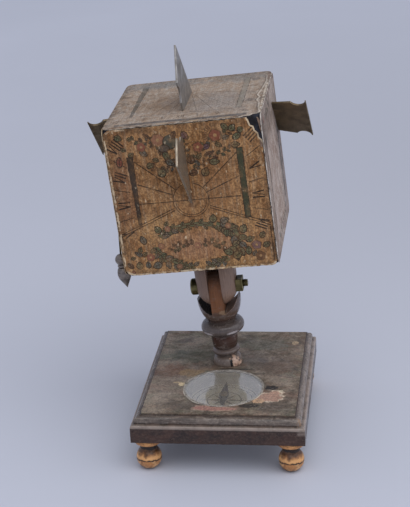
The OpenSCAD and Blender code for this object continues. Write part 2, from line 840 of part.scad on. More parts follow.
// Section of the turned bob, from its point up to the top of the ball
function bob_points() = let (
    body_top = bob_cone_h + bob_body_h,
    ring_half = bob_ring_h / 2,
    ball_r = bob_ball_d / 2,
    neck_r = bob_neck_d / 2
) concat(
    [[0, 0], [bob_d / 2 - bob_edge, bob_cone_h]],
    arc([neck_r, bob_cone_h + bob_wall_h], [bob_d / 2 - neck_r, bob_body_h - bob_wall_h], 0, 90, 8),
    arc([bob_ring_d / 2 - ring_half, body_top + ring_half], [ring_half, ring_half], -90, 90, 6),
    arc([0, bob_length], [ball_r, ball_r], -ball_foot_a, 90, 14));

module plumb_bob() {
    color("#736d6a") on_origin() translate(eye_point - [0, 0, hang_length]) difference() {
        rotate([0, -bob_tilt, 0]) translate([0, 0, -bob_length]) rotate_extrude() polygon(bob_points());
        translate([0, 0, bob_ball_d / 2 - wire_depth - glue_gap])
            cylinder(d = wire_d + 2 * close_fit, h = wire_depth + over);
    }
}

base_board();
base_top_paper();
foot_front_left();
foot_front_right();
foot_back_left();
foot_back_right();
compass_card();
compass_pivot();
compass_needle();
needle_cap();
compass_glass();
glazing_strip();
pillar();
fork_block();
hinge_bolt();
hinge_nut();
cube_block();
north_dial_paper();
south_dial_paper();
east_dial_paper();
west_dial_paper();
top_dial_paper();
north_gnomon();
south_gnomon();
east_gnomon();
west_gnomon();
top_gnomon();
plumb_peg();
plumb_wire();
plumb_bob();
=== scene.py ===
"""Looks of a cube sundial: printed dial papers, brass gnomons, turned pillar, compass and base.

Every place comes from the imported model. Sizes are in millimetres unless a name says otherwise,
and each piece's mesh is written in metres, in the model's own frame.
"""

import json
import logging
import random
from abc import ABC, abstractmethod
from dataclasses import dataclass, field
from enum import Enum
from math import atan, atan2, copysign, cos, degrees, dist, hypot, pi, radians, sin, tan, tau
from typing import Any, Callable, Sequence

import bmesh
import bpy
from mathutils import Matrix, Vector, noise
from mathutils.geometry import delaunay_2d_cdt

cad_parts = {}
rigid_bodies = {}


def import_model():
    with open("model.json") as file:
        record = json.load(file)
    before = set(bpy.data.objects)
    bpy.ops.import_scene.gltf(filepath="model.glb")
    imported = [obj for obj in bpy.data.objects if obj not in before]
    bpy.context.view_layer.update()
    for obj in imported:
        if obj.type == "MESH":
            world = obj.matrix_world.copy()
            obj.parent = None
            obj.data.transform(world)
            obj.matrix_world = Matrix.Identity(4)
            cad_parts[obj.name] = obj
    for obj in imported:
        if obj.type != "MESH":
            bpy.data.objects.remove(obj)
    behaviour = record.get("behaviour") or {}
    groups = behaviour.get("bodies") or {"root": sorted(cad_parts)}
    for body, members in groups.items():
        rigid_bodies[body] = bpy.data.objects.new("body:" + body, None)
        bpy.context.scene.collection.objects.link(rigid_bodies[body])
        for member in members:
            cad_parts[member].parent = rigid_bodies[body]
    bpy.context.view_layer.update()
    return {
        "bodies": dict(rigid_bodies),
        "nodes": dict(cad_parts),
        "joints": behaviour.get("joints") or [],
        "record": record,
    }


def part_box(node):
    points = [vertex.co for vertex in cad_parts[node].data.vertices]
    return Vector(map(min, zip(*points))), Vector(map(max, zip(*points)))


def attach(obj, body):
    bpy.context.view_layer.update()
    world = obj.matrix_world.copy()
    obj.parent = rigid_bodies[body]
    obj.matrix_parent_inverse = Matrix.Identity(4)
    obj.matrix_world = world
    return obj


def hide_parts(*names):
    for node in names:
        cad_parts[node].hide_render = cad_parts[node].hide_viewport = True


LOG = logging.getLogger("sundial")
MM = 0.001
LATITUDE = radians(49.0)
# Farther than any edge of the object: a mask of this size has no limit that way.
FAR = 900.0
# Least share of a slope that is divided by.
TINY = 1e-6
# Points of a mesh that are nearer to each other than this, in metres, are one.
WELD = 2e-6
# The same for corners of a print, in millimetres.
SNAP = 1e-5
# Faces that meet at a smaller angle than this are one.
FLAT = radians(0.8)
CLEAR = (0.0, 0.0, 0.0, 0.0)
LEVEL = Matrix.Identity(3)
NUMERALS = ("I", "II", "III", "IIII", "V", "VI", "VII", "VIII", "IX", "X", "XI", "XII")
# Strokes of the letters in a number: top and foot as shares of the letter's width, and thickness.
STROKES = {"I": ((0.5, 0.5, 0.64),), "V": ((0.1, 0.5, 0.7), (0.9, 0.5, 0.44)),
           "X": ((0.1, 0.9, 0.7), (0.9, 0.1, 0.44))}

Point = tuple[float, float]
Triple = tuple[float, float, float]
Rgba = tuple[float, float, float, float]
TintedPatch = tuple[float, float, float, float, str]
Frame = dict[str, Any]
Material = bpy.types.Material
Mesh = bpy.types.Mesh
NodeTree = bpy.types.NodeTree
Object = bpy.types.Object
Socket = bpy.types.NodeSocket


def linear(colour: str) -> Rgba:
    """Turns an sRGB hex colour to linear RGBA.

    Args:
        colour: Six hex digits after a hash.

    Returns:
        Linear red, green, blue and an alpha of 1.
    """
    parts = [int(colour[i:i + 2], 16) / 255.0 for i in (1, 3, 5)]
    red, green, blue = (c / 12.92 if c <= 0.04045 else ((c + 0.055) / 1.055) ** 2.4 for c in parts)
    return red, green, blue, 1.0


def wire(tree: NodeTree, kind: str, inputs: dict[int | str, Any] | None = None,
         out: int | str = 0, ramp: Sequence[tuple[float, str]] = (), **settings: Any) -> Socket:
    """Adds one node with its settings and links.

    Args:
        tree: The node tree that gets it.
        kind: The node's type name.
        inputs: Sockets to link from, or plain values, by the name or number of the input.
        out: The output that is wanted.
        ramp: Stops of a colour ramp, as places and hex colours.
        **settings: The node's own settings.

    Returns:
        The wanted output of the new node.
    """
    node = tree.nodes.new(kind)
    for name, value in settings.items():
        setattr(node, name, value)
    for key, value in (inputs or {}).items():
        if isinstance(value, Socket):
            tree.links.new(value, node.inputs[key])
        else:
            node.inputs[key].default_value = value
    for i, (place, colour) in enumerate(ramp):
        stops = node.color_ramp.elements
        stop = stops[i] if i < 2 else stops.new(place)
        stop.position, stop.color = place, linear(colour)
    return node.outputs[out] if len(node.outputs) else node.inputs[0]


@dataclass(frozen=True)
class Place:
    """A spot on the object with its own axes: right, up and out."""

    origin: Vector
    axes: Matrix

    def point(self, x: float, y: float, z: float = 0.0) -> Vector:
        """The model's point, in metres, for local millimetres."""
        return self.origin + self.axes @ Vector((x, y, z)) * MM

    def matrix(self) -> Matrix:
        """The turn and shift that bring a mesh in metres here."""
        return Matrix.Translation(self.origin) @ self.axes.to_4x4()


class Coat:
    """One finish, painted from its ground colour up, layer by layer, in local millimetres."""

    def __init__(self, name: str, place: Place, ground: str) -> None:
        """Starts a material whose patterns are measured from a place on the object.

        Args:
            name: The material's name.
            place: Where its patterns have their middle and axes.
            ground: The colour under all the layers, in hex.
        """
        self.material = bpy.data.materials.new(name)
        self.material.use_nodes = True
        self.tree = self.material.node_tree
        self.tree.nodes.clear()
        raw = wire(self.tree, "ShaderNodeTexCoord", out="Object")
        self.at = wire(self.tree, "ShaderNodeMapping", {
            "Vector": raw, "Location": place.origin, "Rotation": place.axes.to_euler(),
            "Scale": (MM, MM, MM)}, vector_type="TEXTURE")
        self.colour: Any = linear(ground)
        self.height: Socket | None = None

    def speckle(self, size: float, low: float, high: float, seed: float,
                stretch: Triple = (1.0, 1.0, 1.0), detail: float = 3.0, warp: float = 0.0,
                gritty: float = 0.5) -> Socket:
        """A cloudy mask.

        Args:
            size: Width of one cloud.
            low: Noise value that gives 0.
            high: Noise value that gives 1.
            seed: Picks the pattern.
            stretch: How much longer a cloud is along each axis.
            detail: Finer octaves.
            warp: How far the clouds are swirled.
            gritty: How strong the finer octaves are.

        Returns:
            The mask, from 0 to 1.
        """
        scaled = wire(self.tree, "ShaderNodeVectorMath", {
            0: self.at, 1: tuple(1.0 / (size * s) for s in stretch)}, operation="MULTIPLY")
        cloud = wire(self.tree, "ShaderNodeTexNoise", {
            "Vector": scaled, "W": seed, "Scale": 1.0, "Detail": detail, "Roughness": gritty,
            "Distortion": warp}, noise_dimensions="4D")
        return wire(self.tree, "ShaderNodeMapRange", {0: cloud, 1: low, 2: high})

    def lines(self, spacing: float, along: str, wobble: float = 0.6) -> Socket:
        """A mask of fine parallel lines.

        Args:
            spacing: Distance from line to line.
            along: The axis that the lines follow each other on.
            wobble: How unsteady they are.

        Returns:
            The mask, from 0 to 1.
        """
        # The wave node's own lines are a tenth of pi apart.
        scaled = wire(self.tree, "ShaderNodeVectorMath", {
            0: self.at, "Scale": pi / (10.0 * spacing)}, operation="SCALE")
        return wire(self.tree, "ShaderNodeTexWave", {
            "Vector": scaled, "Scale": 1.0, "Distortion": wobble, "Detail": 2.0,
            "Detail Scale": 1.5}, out="Fac", bands_direction=along)

    def patch(self, middle: Triple, radii: Triple, ragged: float, seed: float,
              soft: float = 0.08) -> Socket:
        """A mask of one torn or rubbed spot.

        Args:
            middle: The spot's middle.
            radii: Its half sizes.
            ragged: How uneven its edge is, as a share of its size.
            seed: Picks the edge's pattern.
            soft: How slowly it fades, as a share of its size.

        Returns:
            The mask, 1 inside and 0 outside.
        """
        away = wire(self.tree, "ShaderNodeVectorMath", {0: self.at, 1: middle},
                    operation="SUBTRACT")
        unit = wire(self.tree, "ShaderNodeVectorMath", {0: away, 1: radii}, operation="DIVIDE")
        far = wire(self.tree, "ShaderNodeVectorMath", {0: unit}, out="Value", operation="LENGTH")
        edge = self.speckle(min(radii) * 0.5, 0.2, 0.8, seed, detail=5.0)
        bent = wire(self.tree, "ShaderNodeMath", {0: edge, 1: 2.0 * ragged, 2: far},
                    operation="MULTIPLY_ADD")
        top = 1.0 + ragged
        return wire(self.tree, "ShaderNodeMapRange", {
            0: bent, 1: top - soft, 2: top + soft, 3: 1.0, 4: 0.0})

    def band(self, axis: int, low: float, high: float, soft: float, wander: Socket | None = None,
             reach: float = 0.0) -> Socket:
        """A mask between two heights along one axis.

        Args:
            axis: 0, 1 or 2.
            low: Where it begins.
            high: Where it ends.
            soft: How slowly it fades.
            wander: A mask that pushes the edges about.
            reach: How far it pushes them.

        Returns:
            The mask, 1 between the two.
        """
        value = wire(self.tree, "ShaderNodeSeparateXYZ", {0: self.at}, out=axis)
        if wander is not None:
            value = wire(self.tree, "ShaderNodeMath", {0: wander, 1: reach, 2: value},
                         operation="MULTIPLY_ADD")
        rise = wire(self.tree, "ShaderNodeMapRange", {0: value, 1: low - soft, 2: low + soft})
        fall = wire(self.tree, "ShaderNodeMapRange", {
            0: value, 1: high - soft, 2: high + soft, 3: 1.0, 4: 0.0})
        return wire(self.tree, "ShaderNodeMath", {0: rise, 1: fall}, operation="MULTIPLY")

    def lay(self, colour: str | Socket, *masks: Socket, amount: float = 1.0) -> None:
        """Lays a colour over what is there, where all the masks overlap.

        Args:
            colour: Hex colour, or a socket that gives one.
            *masks: Where it shows.
            amount: How much of it shows there.
        """
        cover: Any = amount
        for mask in masks:
            cover = wire(self.tree, "ShaderNodeMath", {0: cover, 1: mask}, operation="MULTIPLY")
        self.colour = wire(self.tree, "ShaderNodeMix", {
            0: cover, 6: self.colour, 7: linear(colour) if isinstance(colour, str) else colour},
            out=2, data_type="RGBA")

    def cloud(self, colour: str, amount: float, *sizes: Any, **more: float) -> Socket:
        """Lays a cloudy colour.

        Args:
            colour: Hex colour.
            amount: How much of it shows.
            *sizes: What its mask of clouds takes, in order.
            **more: What the mask takes by name.

        Returns:
            The mask.
        """
        mask = self.speckle(*sizes, **more)
        self.lay(colour, mask, amount=amount)
        return mask

    def lay_patches(self, tinted_patches: Sequence[TintedPatch], ragged: float, seed: float, amount: float) -> None:
        """Lays soft tinted patches through a sheet: spilt colour, and on some papers painted light
        and shade.

        Args:
            tinted_patches: Each by its middle, half sizes and colour.
            ragged: How uneven their edges are, as a share of their size.
            seed: Picks the first one's edge.
            amount: How much of them shows.
        """
        for i, (x, y, wide, high, colour) in enumerate(tinted_patches):
            patch_mask = self.patch((x, y, 0.0), (wide, high, FAR), ragged, seed + i, 0.5)
            self.lay(colour, patch_mask, amount=amount)

    def relief(self, *rows: tuple[Socket, float]) -> None:
        """Raises or hollows the surface under masks.

        Args:
            *rows: Each mask with its height, a negative one for a hollow.
        """
        for mask, height in rows:
            below = 0.0 if self.height is None else self.height
            self.height = wire(self.tree, "ShaderNodeMath", {0: mask, 1: height, 2: below},
                               operation="MULTIPLY_ADD")

    def done(self, rough: Point, rough_mask: Socket, **sockets: float) -> Material:
        """Closes the material.

        Args:
            rough: Roughness where the mask is 0 and where it is 1.
            rough_mask: Where it is rougher or smoother.
            **sockets: Plain values of the shader, with underscores for the spaces of their names.

        Returns:
            The material.
        """
        inputs: dict[str, Any] = {name.replace("_", " "): value for name, value in sockets.items()}
        inputs["Base Color"] = self.colour
        inputs["Roughness"] = wire(self.tree, "ShaderNodeMapRange", {
            0: rough_mask, 3: rough[0], 4: rough[1]})
        if self.height is not None:
            inputs["Normal"] = wire(self.tree, "ShaderNodeBump", {
                "Height": self.height, "Distance": MM, "Strength": 1.0})
        shade = wire(self.tree, "ShaderNodeBsdfPrincipled", inputs)
        wire(self.tree, "ShaderNodeOutputMaterial", {"Surface": shade})
        return self.material


class Finish(ABC):
    """A surface as its maker and its years left it."""

    @abstractmethod
    def paint(self, place: Place) -> Material:
        """Makes the material with its patterns measured from a place."""


@dataclass(frozen=True)
class PrintedPaper(Finish):
    """Hand-coloured laid paper, glued on, varnished and browned: mottled, with rubbed print."""

    name: str
    ground: str
    stain: str
    light: str
    scuff: str
    print_left: float
    seed: float
    rubbed: float = 0.5
    laid_mm: float = 1.1
    edge: float = 35.0
    soiled: float = 5.0
    streaks: float = 0.34
    fibre: float = 0.5
    spots: float = 0.7
    tinted_patches: tuple[TintedPatch, ...] = ()

    def paint(self, place: Place) -> Material:
        """Paints the paper, then what is left of its print, then its rubs and dirt.

        Args:
            place: The sheet's middle and axes.

        Returns:
            The material.
        """
        coat = Coat(self.name, place, self.ground)
        clouds = coat.cloud(self.stain, 0.66, 12.0, 0.42, 0.58, self.seed, detail=9.0, warp=0.5,
                            gritty=0.68)
        coat.cloud(self.light, 0.72, 2.6, 0.48, 0.6, self.seed + 1.0, (1.0, 1.6, 1.0), 8.0, 0.0,
                   0.74)
        coat.lay_patches(self.tinted_patches, 0.7, self.seed + 20.0, 0.62)
        # Laid wires are about 1 mm apart; they run upright and show as fine pale and dark streaks.
        laid = coat.lines(self.laid_mm, "X", 2.5)
        streak = coat.speckle(0.9, 0.35, 0.7, self.seed + 2.0, (1.0, 14.0, 1.0), 3.0)
        coat.lay("#2a1c12", streak, laid, amount=self.streaks)
        coat.cloud(self.scuff, self.streaks * 0.6, 1.1, 0.5, 0.7, self.seed + 8.0, (1.0, 10.0, 1.0),
                   5.0)
        # Paper fibre is far under 0.1 mm wide, so it is drawn as 0.8 mm flecks to show at all.
        fleck = coat.cloud("#1d140d", self.fibre, 0.8, 0.45, 0.57, self.seed + 3.0, detail=4.0,
                           gritty=0.75)
        ink = wire(coat.tree, "ShaderNodeAttribute", out="Color", attribute_name="print")
        cover = ink.node.outputs["Alpha"]
        held = coat.speckle(1.1, self.rubbed - 0.16, self.rubbed, self.seed + 4.0, detail=6.0,
                            gritty=0.75)
        kept = coat.speckle(6.0, self.rubbed - 0.1, self.rubbed + 0.06, self.seed + 9.0, detail=6.0)
        coat.lay(ink, cover, held, amount=self.print_left * 0.62)
        coat.lay(ink, cover, held, kept, amount=self.print_left * 0.8)
        self.soil(coat)
        rim = wire(coat.tree, "ShaderNodeAttribute", out="Fac", attribute_name="rim")
        frayed = coat.speckle(5.0, 0.44, 0.56, self.seed + 5.0, detail=6.0, gritty=0.72)
        coat.lay(self.scuff, rim, frayed, amount=0.68)
        coat.cloud("#3a2416", 0.7 * self.spots, 3.0, 0.64, 0.72, self.seed + 6.0, detail=5.0)
        coat.cloud(self.scuff, self.spots, 1.4, 0.64, 0.73, self.seed + 7.0, (1.0, 2.0, 1.0), 5.0)
        coat.relief((laid, 0.02), (fleck, 0.04), (clouds, 0.10))
        return coat.done((0.62, 0.9), clouds, Specular_IOR_Level=0.35)

    def soil(self, coat: Coat) -> None:
        """Lays the dirt of many hands along the sheet's edges.

        Args:
            coat: The paper so far.
        """
        sides = []
        for axis in (0, 1):
            along = wire(coat.tree, "ShaderNodeSeparateXYZ", {0: coat.at}, out=axis)
            sides.append(wire(coat.tree, "ShaderNodeMath", {0: along}, operation="ABSOLUTE"))
        far = wire(coat.tree, "ShaderNodeMath", {0: sides[0], 1: sides[1]}, operation="MAXIMUM")
        near = wire(coat.tree, "ShaderNodeMapRange", {
            0: far, 1: self.edge - self.soiled, 2: self.edge})
        spots = coat.speckle(4.0, 0.4, 0.6, self.seed + 10.0, detail=7.0, gritty=0.7)
        coat.lay("#2c2018", near, spots, amount=0.7)


@dataclass(frozen=True)
class MarbledPaper(Finish):
    """Marbled cover paper, darkened by wax and soot: swirls of grey, brown and green."""

    name: str = "marbled_paper_waxed"
    ground: str = "#93826f"
    tints: tuple[tuple[str, float, float, float, float], ...] = (
        ("#b0a08f", 6.0, 0.48, 5.0, 0.55), ("#626850", 11.0, 0.5, 7.0, 0.5),
        ("#86604f", 9.0, 0.51, 9.0, 0.45), ("#2b2421", 7.0, 0.51, 17.0, 0.55))
    faded: TintedPatch = (-27.0, -19.0, 14.0, 14.0, "#a8998e")
    tinted_patches: tuple[TintedPatch, ...] = (
        (-27.0, 0.0, 9.0, 6.0, "#7a4a30"), (-19.0, 17.0, 15.0, 8.0, "#4c5541"),
        (9.0, 12.0, 14.0, 9.0, "#57504a"), (25.0, -37.0, 9.0, 6.0, "#3b332f"),
        (25.0, 6.0, 9.0, 9.0, "#6d5a4f"), (-14.0, -37.0, 12.0, 5.0, "#4b4742"),
        (17.0, 30.0, 14.0, 6.0, "#565a50"))

    def paint(self, place: Place) -> Material:
        """Paints the swirls, the torn places that the sheet carries as print, and the dust.

        Args:
            place: The panel's middle and axes.

        Returns:
            The material.
        """
        coat = Coat(self.name, place, self.ground)
        swirl = coat.cloud("#615244", 0.85, 15.0, 0.44, 0.56, 3.0, (1.5, 1.0, 1.0), 9.0, 0.8, 0.68)
        # The colours were combed in as drops about 6 to 11 mm wide, and have blurred since.
        for tint, size, low, seed, amount in self.tints:
            coat.cloud(tint, amount, size, low, low + 0.11, seed, (1.4, 1.0, 1.0), 9.0, 0.3, 0.74)
        coat.lay_patches((self.faded,), 0.6, 19.0, 0.34)
        coat.lay_patches(self.tinted_patches, 0.9, 31.0, 0.5)
        ink = wire(coat.tree, "ShaderNodeAttribute", out="Color", attribute_name="print")
        cover = ink.node.outputs["Alpha"]
        held = coat.speckle(1.6, 0.3, 0.46, 11.0, detail=7.0, gritty=0.65)
        coat.lay(ink, cover, held)
        fleck = coat.cloud("#1a1513", 0.5, 0.9, 0.42, 0.62, 13.0, detail=4.0, gritty=0.7)
        coat.cloud("#b0a397", 0.6, 1.5, 0.62, 0.72, 15.0, (2.4, 1.0, 1.0), 6.0, 0.0, 0.65)
        coat.relief((swirl, 0.12), (fleck, 0.06))
        return coat.done((0.42, 0.68), swirl, Specular_IOR_Level=0.4)


@dataclass(frozen=True)
class StainedWood(Finish):
    """Fruitwood stained dark and waxed: fine streaked grain, rubbed paler on its edges."""

    name: str
    ground: str
    streak: str
    worn: str
    tint: str
    grain_mm: float = 0.7
    stretch: Triple = (22.0, 1.0, 1.0)
    rough: Point = (0.4, 0.62)
    seed: float = 0.0
    wear: float = 0.8
    gloss: float = 0.5

    def paint(self, place: Place) -> Material:
        """Paints the stain, the grain, tinted areas, pores and rubbed edges.

        Args:
            place: The piece's middle and axes, with the grain along the stretched axis.

        Returns:
            The material.
        """
        coat = Coat(self.name, place, self.ground)
        grain = coat.cloud(self.streak, 0.75, self.grain_mm, 0.3, 0.72, self.seed, self.stretch,
                           4.0, 0.3)
        clouds = coat.cloud(self.tint, 0.55, 9.0, 0.45, 0.58, self.seed + 1.0, detail=9.0, warp=0.5,
                            gritty=0.7)
        coat.cloud("#17110e", 0.5, self.grain_mm * 0.5, 0.62, 0.72, self.seed + 2.0, self.stretch,
                   2.0)
        edges = wire(coat.tree, "ShaderNodeAttribute", out="Fac", attribute_name="worn")
        chips = coat.speckle(2.2, 0.36, 0.58, self.seed + 3.0, (2.0, 2.0, 1.0), 6.0, 0.0, 0.65)
        coat.lay(self.worn, edges, chips, amount=self.wear)
        coat.cloud(self.worn, 0.4, 3.0, 0.66, 0.76, self.seed + 4.0, (2.5, 1.0, 1.0), 5.0)
        self.knocks(coat, chips)
        coat.relief((grain, 0.05), (clouds, 0.08))
        return coat.done(self.rough, clouds, Specular_IOR_Level=self.gloss)

    def knocks(self, coat: Coat, chips: Socket) -> None:
        """Lays what is special to one piece of wood: here nothing more."""


@dataclass(frozen=True)
class MouldedBoard(StainedWood):
    """The base's wood: rubbed along its nose, with painted highlights on the nose and the right
    end, knocked at a corner, its compass well limed white.
    """

    plinth: float = -5.8
    nose: Point = (-5.45, -4.1)
    hollow: Point = (-3.3, -0.5)
    end: float = 36.6
    end_height: Point = (-7.6, 3.0)
    corner: Triple = (37.6, -46.6, -2.2)
    well: Point = (0.0, 0.0)
    well_radius: float = 19.3

    def knocks(self, coat: Coat, chips: Socket) -> None:
        """Lays the dark plinth, the paler streaked hollow, the rubs and knocks, the painted
        highlights on the nose and the right end, and the well's white.

        Args:
            coat: The wood so far.
            chips: Where it is chipped.
        """
        clouds = coat.speckle(6.0, 0.3, 0.5, self.seed + 8.0, detail=7.0, gritty=0.7)
        grit = coat.speckle(1.0, 0.48, 0.62, self.seed + 7.0, (1.6, 1.6, 1.0), 6.0, 0.0, 0.75)
        plinth = coat.band(2, -FAR, self.plinth, 0.2)
        coat.lay("#40231a", plinth, amount=0.45)
        sooty = coat.speckle(5.0, 0.47, 0.6, self.seed + 10.0, (1.8, 1.8, 1.0), 6.0, 0.0, 0.7)
        coat.lay("#120c0a", plinth, sooty, amount=0.6)
        coat.lay("#6f5a4d", grit, amount=0.34)
        hollow = coat.band(2, *self.hollow, 0.3)
        coat.lay("#7b7067", hollow, clouds, amount=0.62)
        coat.lay("#9d9086", hollow, grit, amount=0.44)
        drawn = coat.speckle(0.55, 0.47, 0.6, self.seed + 9.0, (16.0, 16.0, 1.0), 5.0)
        coat.lay("#362c28", hollow, drawn, amount=0.62)
        # Painted highlight: a plain pale band along the nose; the chipped band laid over it below
        # is wear.
        nose = coat.band(2, *self.nose, 0.25)
        coat.lay(self.worn, nose, amount=0.5)
        # The right end is rubbed paler, and partly carries a painted highlight of its lit side.
        end = coat.band(0, self.end, FAR, 0.6)
        coat.lay(self.worn, end, coat.band(2, *self.end_height, 0.5), chips, amount=0.45)
        coat.lay(self.worn, nose, chips, amount=0.5)
        knock = coat.patch(self.corner, (1.5, 1.5, 2.2), 0.9, self.seed + 5.0)
        coat.lay("#8a6e55", knock, amount=0.8)
        well = coat.patch((*self.well, 0.0), (self.well_radius, self.well_radius, FAR), 0.0,
                          self.seed + 6.0, 0.004)
        coat.lay("#e6e0d4", well)


@dataclass(frozen=True)
class PillarWood(Finish):
    """Turned and painted wood: each moulding has worn to its own brown, grey or near black; the cup
    and the tongue's top carry painted shade, the cup's right side painted light, the collar painted
    highlights.
    """

    name: str = "turned_fruitwood_painted"
    reach: float = 50.0
    stops: tuple[tuple[float, str], ...] = (
        (0.0, "#776960"), (0.085, "#72645b"), (0.105, "#4d423d"), (0.165, "#6d5e57"),
        (0.185, "#38241d"), (0.30, "#482a22"), (0.335, "#50443f"), (0.40, "#625855"),
        (0.45, "#594f4b"), (0.475, "#453731"), (0.51, "#5f483b"), (0.60, "#5e4a40"),
        (0.70, "#55443d"))
    tongue: float = 3.15
    cup_middle: float = 38.2
    cup_radius: float = 10.0
    cheek: float = 3.2
    bare_from: float = 30.2
    shaded_from: float = 45.6
    collar: float = 18.8
    shines: tuple[Point, ...] = ((-6.4, -7.4), (5.6, -8.0))

    def paint(self, place: Place) -> Material:
        """Paints the zones along the pillar, the bare tongue, the chipped foot and the wear, with
        painted shade in the cup and at the tongue's top, painted light on the cup's right side and
        painted highlights on the collar.

        Args:
            place: The pillar's foot, with its second axis to the back and its third upwards.

        Returns:
            The material.
        """
        coat = Coat(self.name, place, "#4b403c")
        height = wire(coat.tree, "ShaderNodeSeparateXYZ", {0: coat.at}, out=2)
        unit = wire(coat.tree, "ShaderNodeMapRange", {0: height, 1: 0.0, 2: self.reach})
        coat.lay(wire(coat.tree, "ShaderNodeValToRGB", {0: unit}, ramp=self.stops))
        hollow = coat.patch((0.0, 0.0, self.cup_middle), (self.cup_radius, FAR, self.cup_radius),
                            0.0, 20.0, 0.004)
        # Painted shade: the cup's hollow is laid near black.
        coat.lay("#0d0907", hollow)
        tongue = coat.band(0, -self.tongue, self.tongue, 0.06)
        # Painted light: the hollow's right side, past the cheek, is laid pale brown as if lit.
        coat.lay("#a08676", hollow, coat.band(0, self.cheek, FAR, 0.3))
        coat.lay("#6b5144", hollow, tongue)
        wander = coat.speckle(2.0, 0.3, 0.7, 33.0)
        above = coat.band(2, self.bare_from, FAR, 0.4, wander, 1.2)
        coat.lay("#8f5c3b", tongue, above)
        # Painted shade: the tongue darkens towards its top, under the cube.
        coat.lay("#2e1c13", tongue, coat.band(2, self.shaded_from, FAR, 2.4), amount=0.75)
        grain = coat.cloud("#2a1f1b", 0.45, 0.6, 0.32, 0.7, 21.0, (1.0, 1.0, 18.0), 4.0)
        coat.cloud("#83756c", 0.18, 0.5, 0.36, 0.7, 23.0, (20.0, 20.0, 1.0), 3.0)
        rubs = coat.cloud("#8d7f77", 0.45, 2.4, 0.54, 0.7, 25.0, (1.6, 1.6, 1.0), 7.0, 0.0, 0.65)
        # Painted highlights: pale spots on the collar's lower front.
        for i, (x, y) in enumerate(self.shines):
            shine = coat.patch((x, y, self.collar), (2.6, 4.0, 0.7), 0.6, 37.0 + i, 0.25)
            coat.lay("#c4bcbd", shine, amount=0.85)
        chip = coat.patch((5.8, -5.6, 2.2), (3.2, 3.2, 3.0), 1.1, 27.0)
        crack = coat.patch((2.7, -7.2, 1.8), (0.55, 3.0, 2.2), 0.8, 29.0)
        coat.lay("#c0a18d", chip)
        coat.lay("#7d5d4e", chip, coat.speckle(1.2, 0.5, 0.62, 35.0, detail=5.0), amount=0.7)
        coat.lay("#14100e", crack)
        split = coat.patch((2.4, -8.6, 29.6), (2.0, 2.4, 1.0), 0.45, 31.0)
        coat.lay("#9a7d62", split, amount=0.9)
        coat.relief((grain, 0.04), (rubs, 0.06), (chip, -0.35), (crack, -0.5))
        dull = wire(coat.tree, "ShaderNodeMath", {0: rubs, 1: 0.4}, operation="MULTIPLY")
        dull = wire(coat.tree, "ShaderNodeMath", {0: dull, 1: hollow}, operation="MAXIMUM")
        return coat.done((0.16, 0.95), dull)


@dataclass(frozen=True)
class TurnedFoot(Finish):
    """Turned boxwood, oiled: orange tan, with burnt lines from the chisel, grubby hollows, a
    painted highlight round the ball and painted shade over its top.
    """

    name: str = "turned_boxwood_oiled"
    burnt: tuple[Point, ...] = ((5.7, 6.5), (11.2, 12.8))

    def paint(self, place: Place) -> Material:
        """Paints the wood, a painted highlight round the ball, painted shade with dirt over its
        top, its burnt rings and its knocks.

        Args:
            place: The foot's middle on the floor, with its third axis upwards.

        Returns:
            The material.
        """
        coat = Coat(self.name, place, "#c98d56")
        grain = coat.cloud("#80502c", 0.6, 0.8, 0.36, 0.66, 41.0, (1.0, 1.0, 9.0), 5.0, 0.0, 0.6)
        clouds = coat.cloud("#eeb577", 0.75, 3.4, 0.48, 0.62, 43.0, detail=6.0, gritty=0.6)
        wander = coat.speckle(3.0, 0.3, 0.7, 45.0, detail=6.0, gritty=0.65)
        # Painted highlight: a pale band round the ball's widest part.
        coat.lay("#f6bd7e", coat.band(2, 6.4, 8.4, 0.8, wander, 1.3), amount=0.5)
        # Partly dirt and partly painted shade: the ball's top and the neck under the collar are
        # darkened.
        coat.lay("#331c10", coat.band(2, 9.3, 13.4, 1.0, wander, 2.4), amount=0.85)
        coat.lay("#4d2f1a", coat.band(2, 5.3, 7.0, 0.5, wander, 1.3), clouds, amount=0.6)
        coat.lay("#e6bf8f", coat.band(2, -1.0, 5.2, 0.6), clouds, amount=0.5)
        for low, high in self.burnt:
            coat.lay("#1c120c", coat.band(2, low, high, 0.2, wander, 1.3), amount=0.95)
        dirt = coat.cloud("#2f1e13", 0.75, 1.8, 0.56, 0.68, 47.0, detail=6.0, gritty=0.65)
        low_dirt = coat.band(2, -1.0, 2.2, 0.8)
        coat.lay("#4f3420", low_dirt, coat.speckle(1.8, 0.42, 0.58, 49.0), amount=0.8)
        coat.relief((dirt, -0.12), (grain, 0.04))
        return coat.done((0.3, 0.5), grain)


@dataclass(frozen=True)
class OldBrass(Finish):
    """Hammered sheet or turned brass, tarnished: dull brown skin, brighter where it is rubbed."""

    name: str
    ground: str
    tarnish: str
    bright: str
    green: str = "#4f5238"
    rough: Point = (0.34, 0.6)
    metal: float = 0.85
    seed: float = 0.0

    def paint(self, place: Place) -> Material:
        """Paints the metal, its tarnish, rubbed edges and spots of verdigris.

        Args:
            place: The piece's middle and axes.

        Returns:
            The material.
        """
        coat = Coat(self.name, place, self.ground)
        skin = coat.cloud(self.tarnish, 0.85, 5.0, 0.36, 0.62, self.seed, detail=6.0, warp=0.6)
        edges = wire(coat.tree, "ShaderNodeAttribute", out="Fac", attribute_name="worn")
        coat.lay(self.bright, edges, coat.speckle(2.5, 0.35, 0.6, self.seed + 1.0), amount=0.8)
        coat.cloud(self.green, 0.6, 1.5, 0.62, 0.72, self.seed + 2.0, detail=5.0)
        # File scratches are hairlines; they are drawn 0.35 mm apart so that they show.
        files = coat.cloud(self.bright, 0.12, 0.35, 0.3, 0.75, self.seed + 3.0, (1.0, 16.0, 16.0),
                           2.0)
        coat.relief((skin, 0.05), (files, 0.01))
        return coat.done(self.rough, skin, Metallic=self.metal)


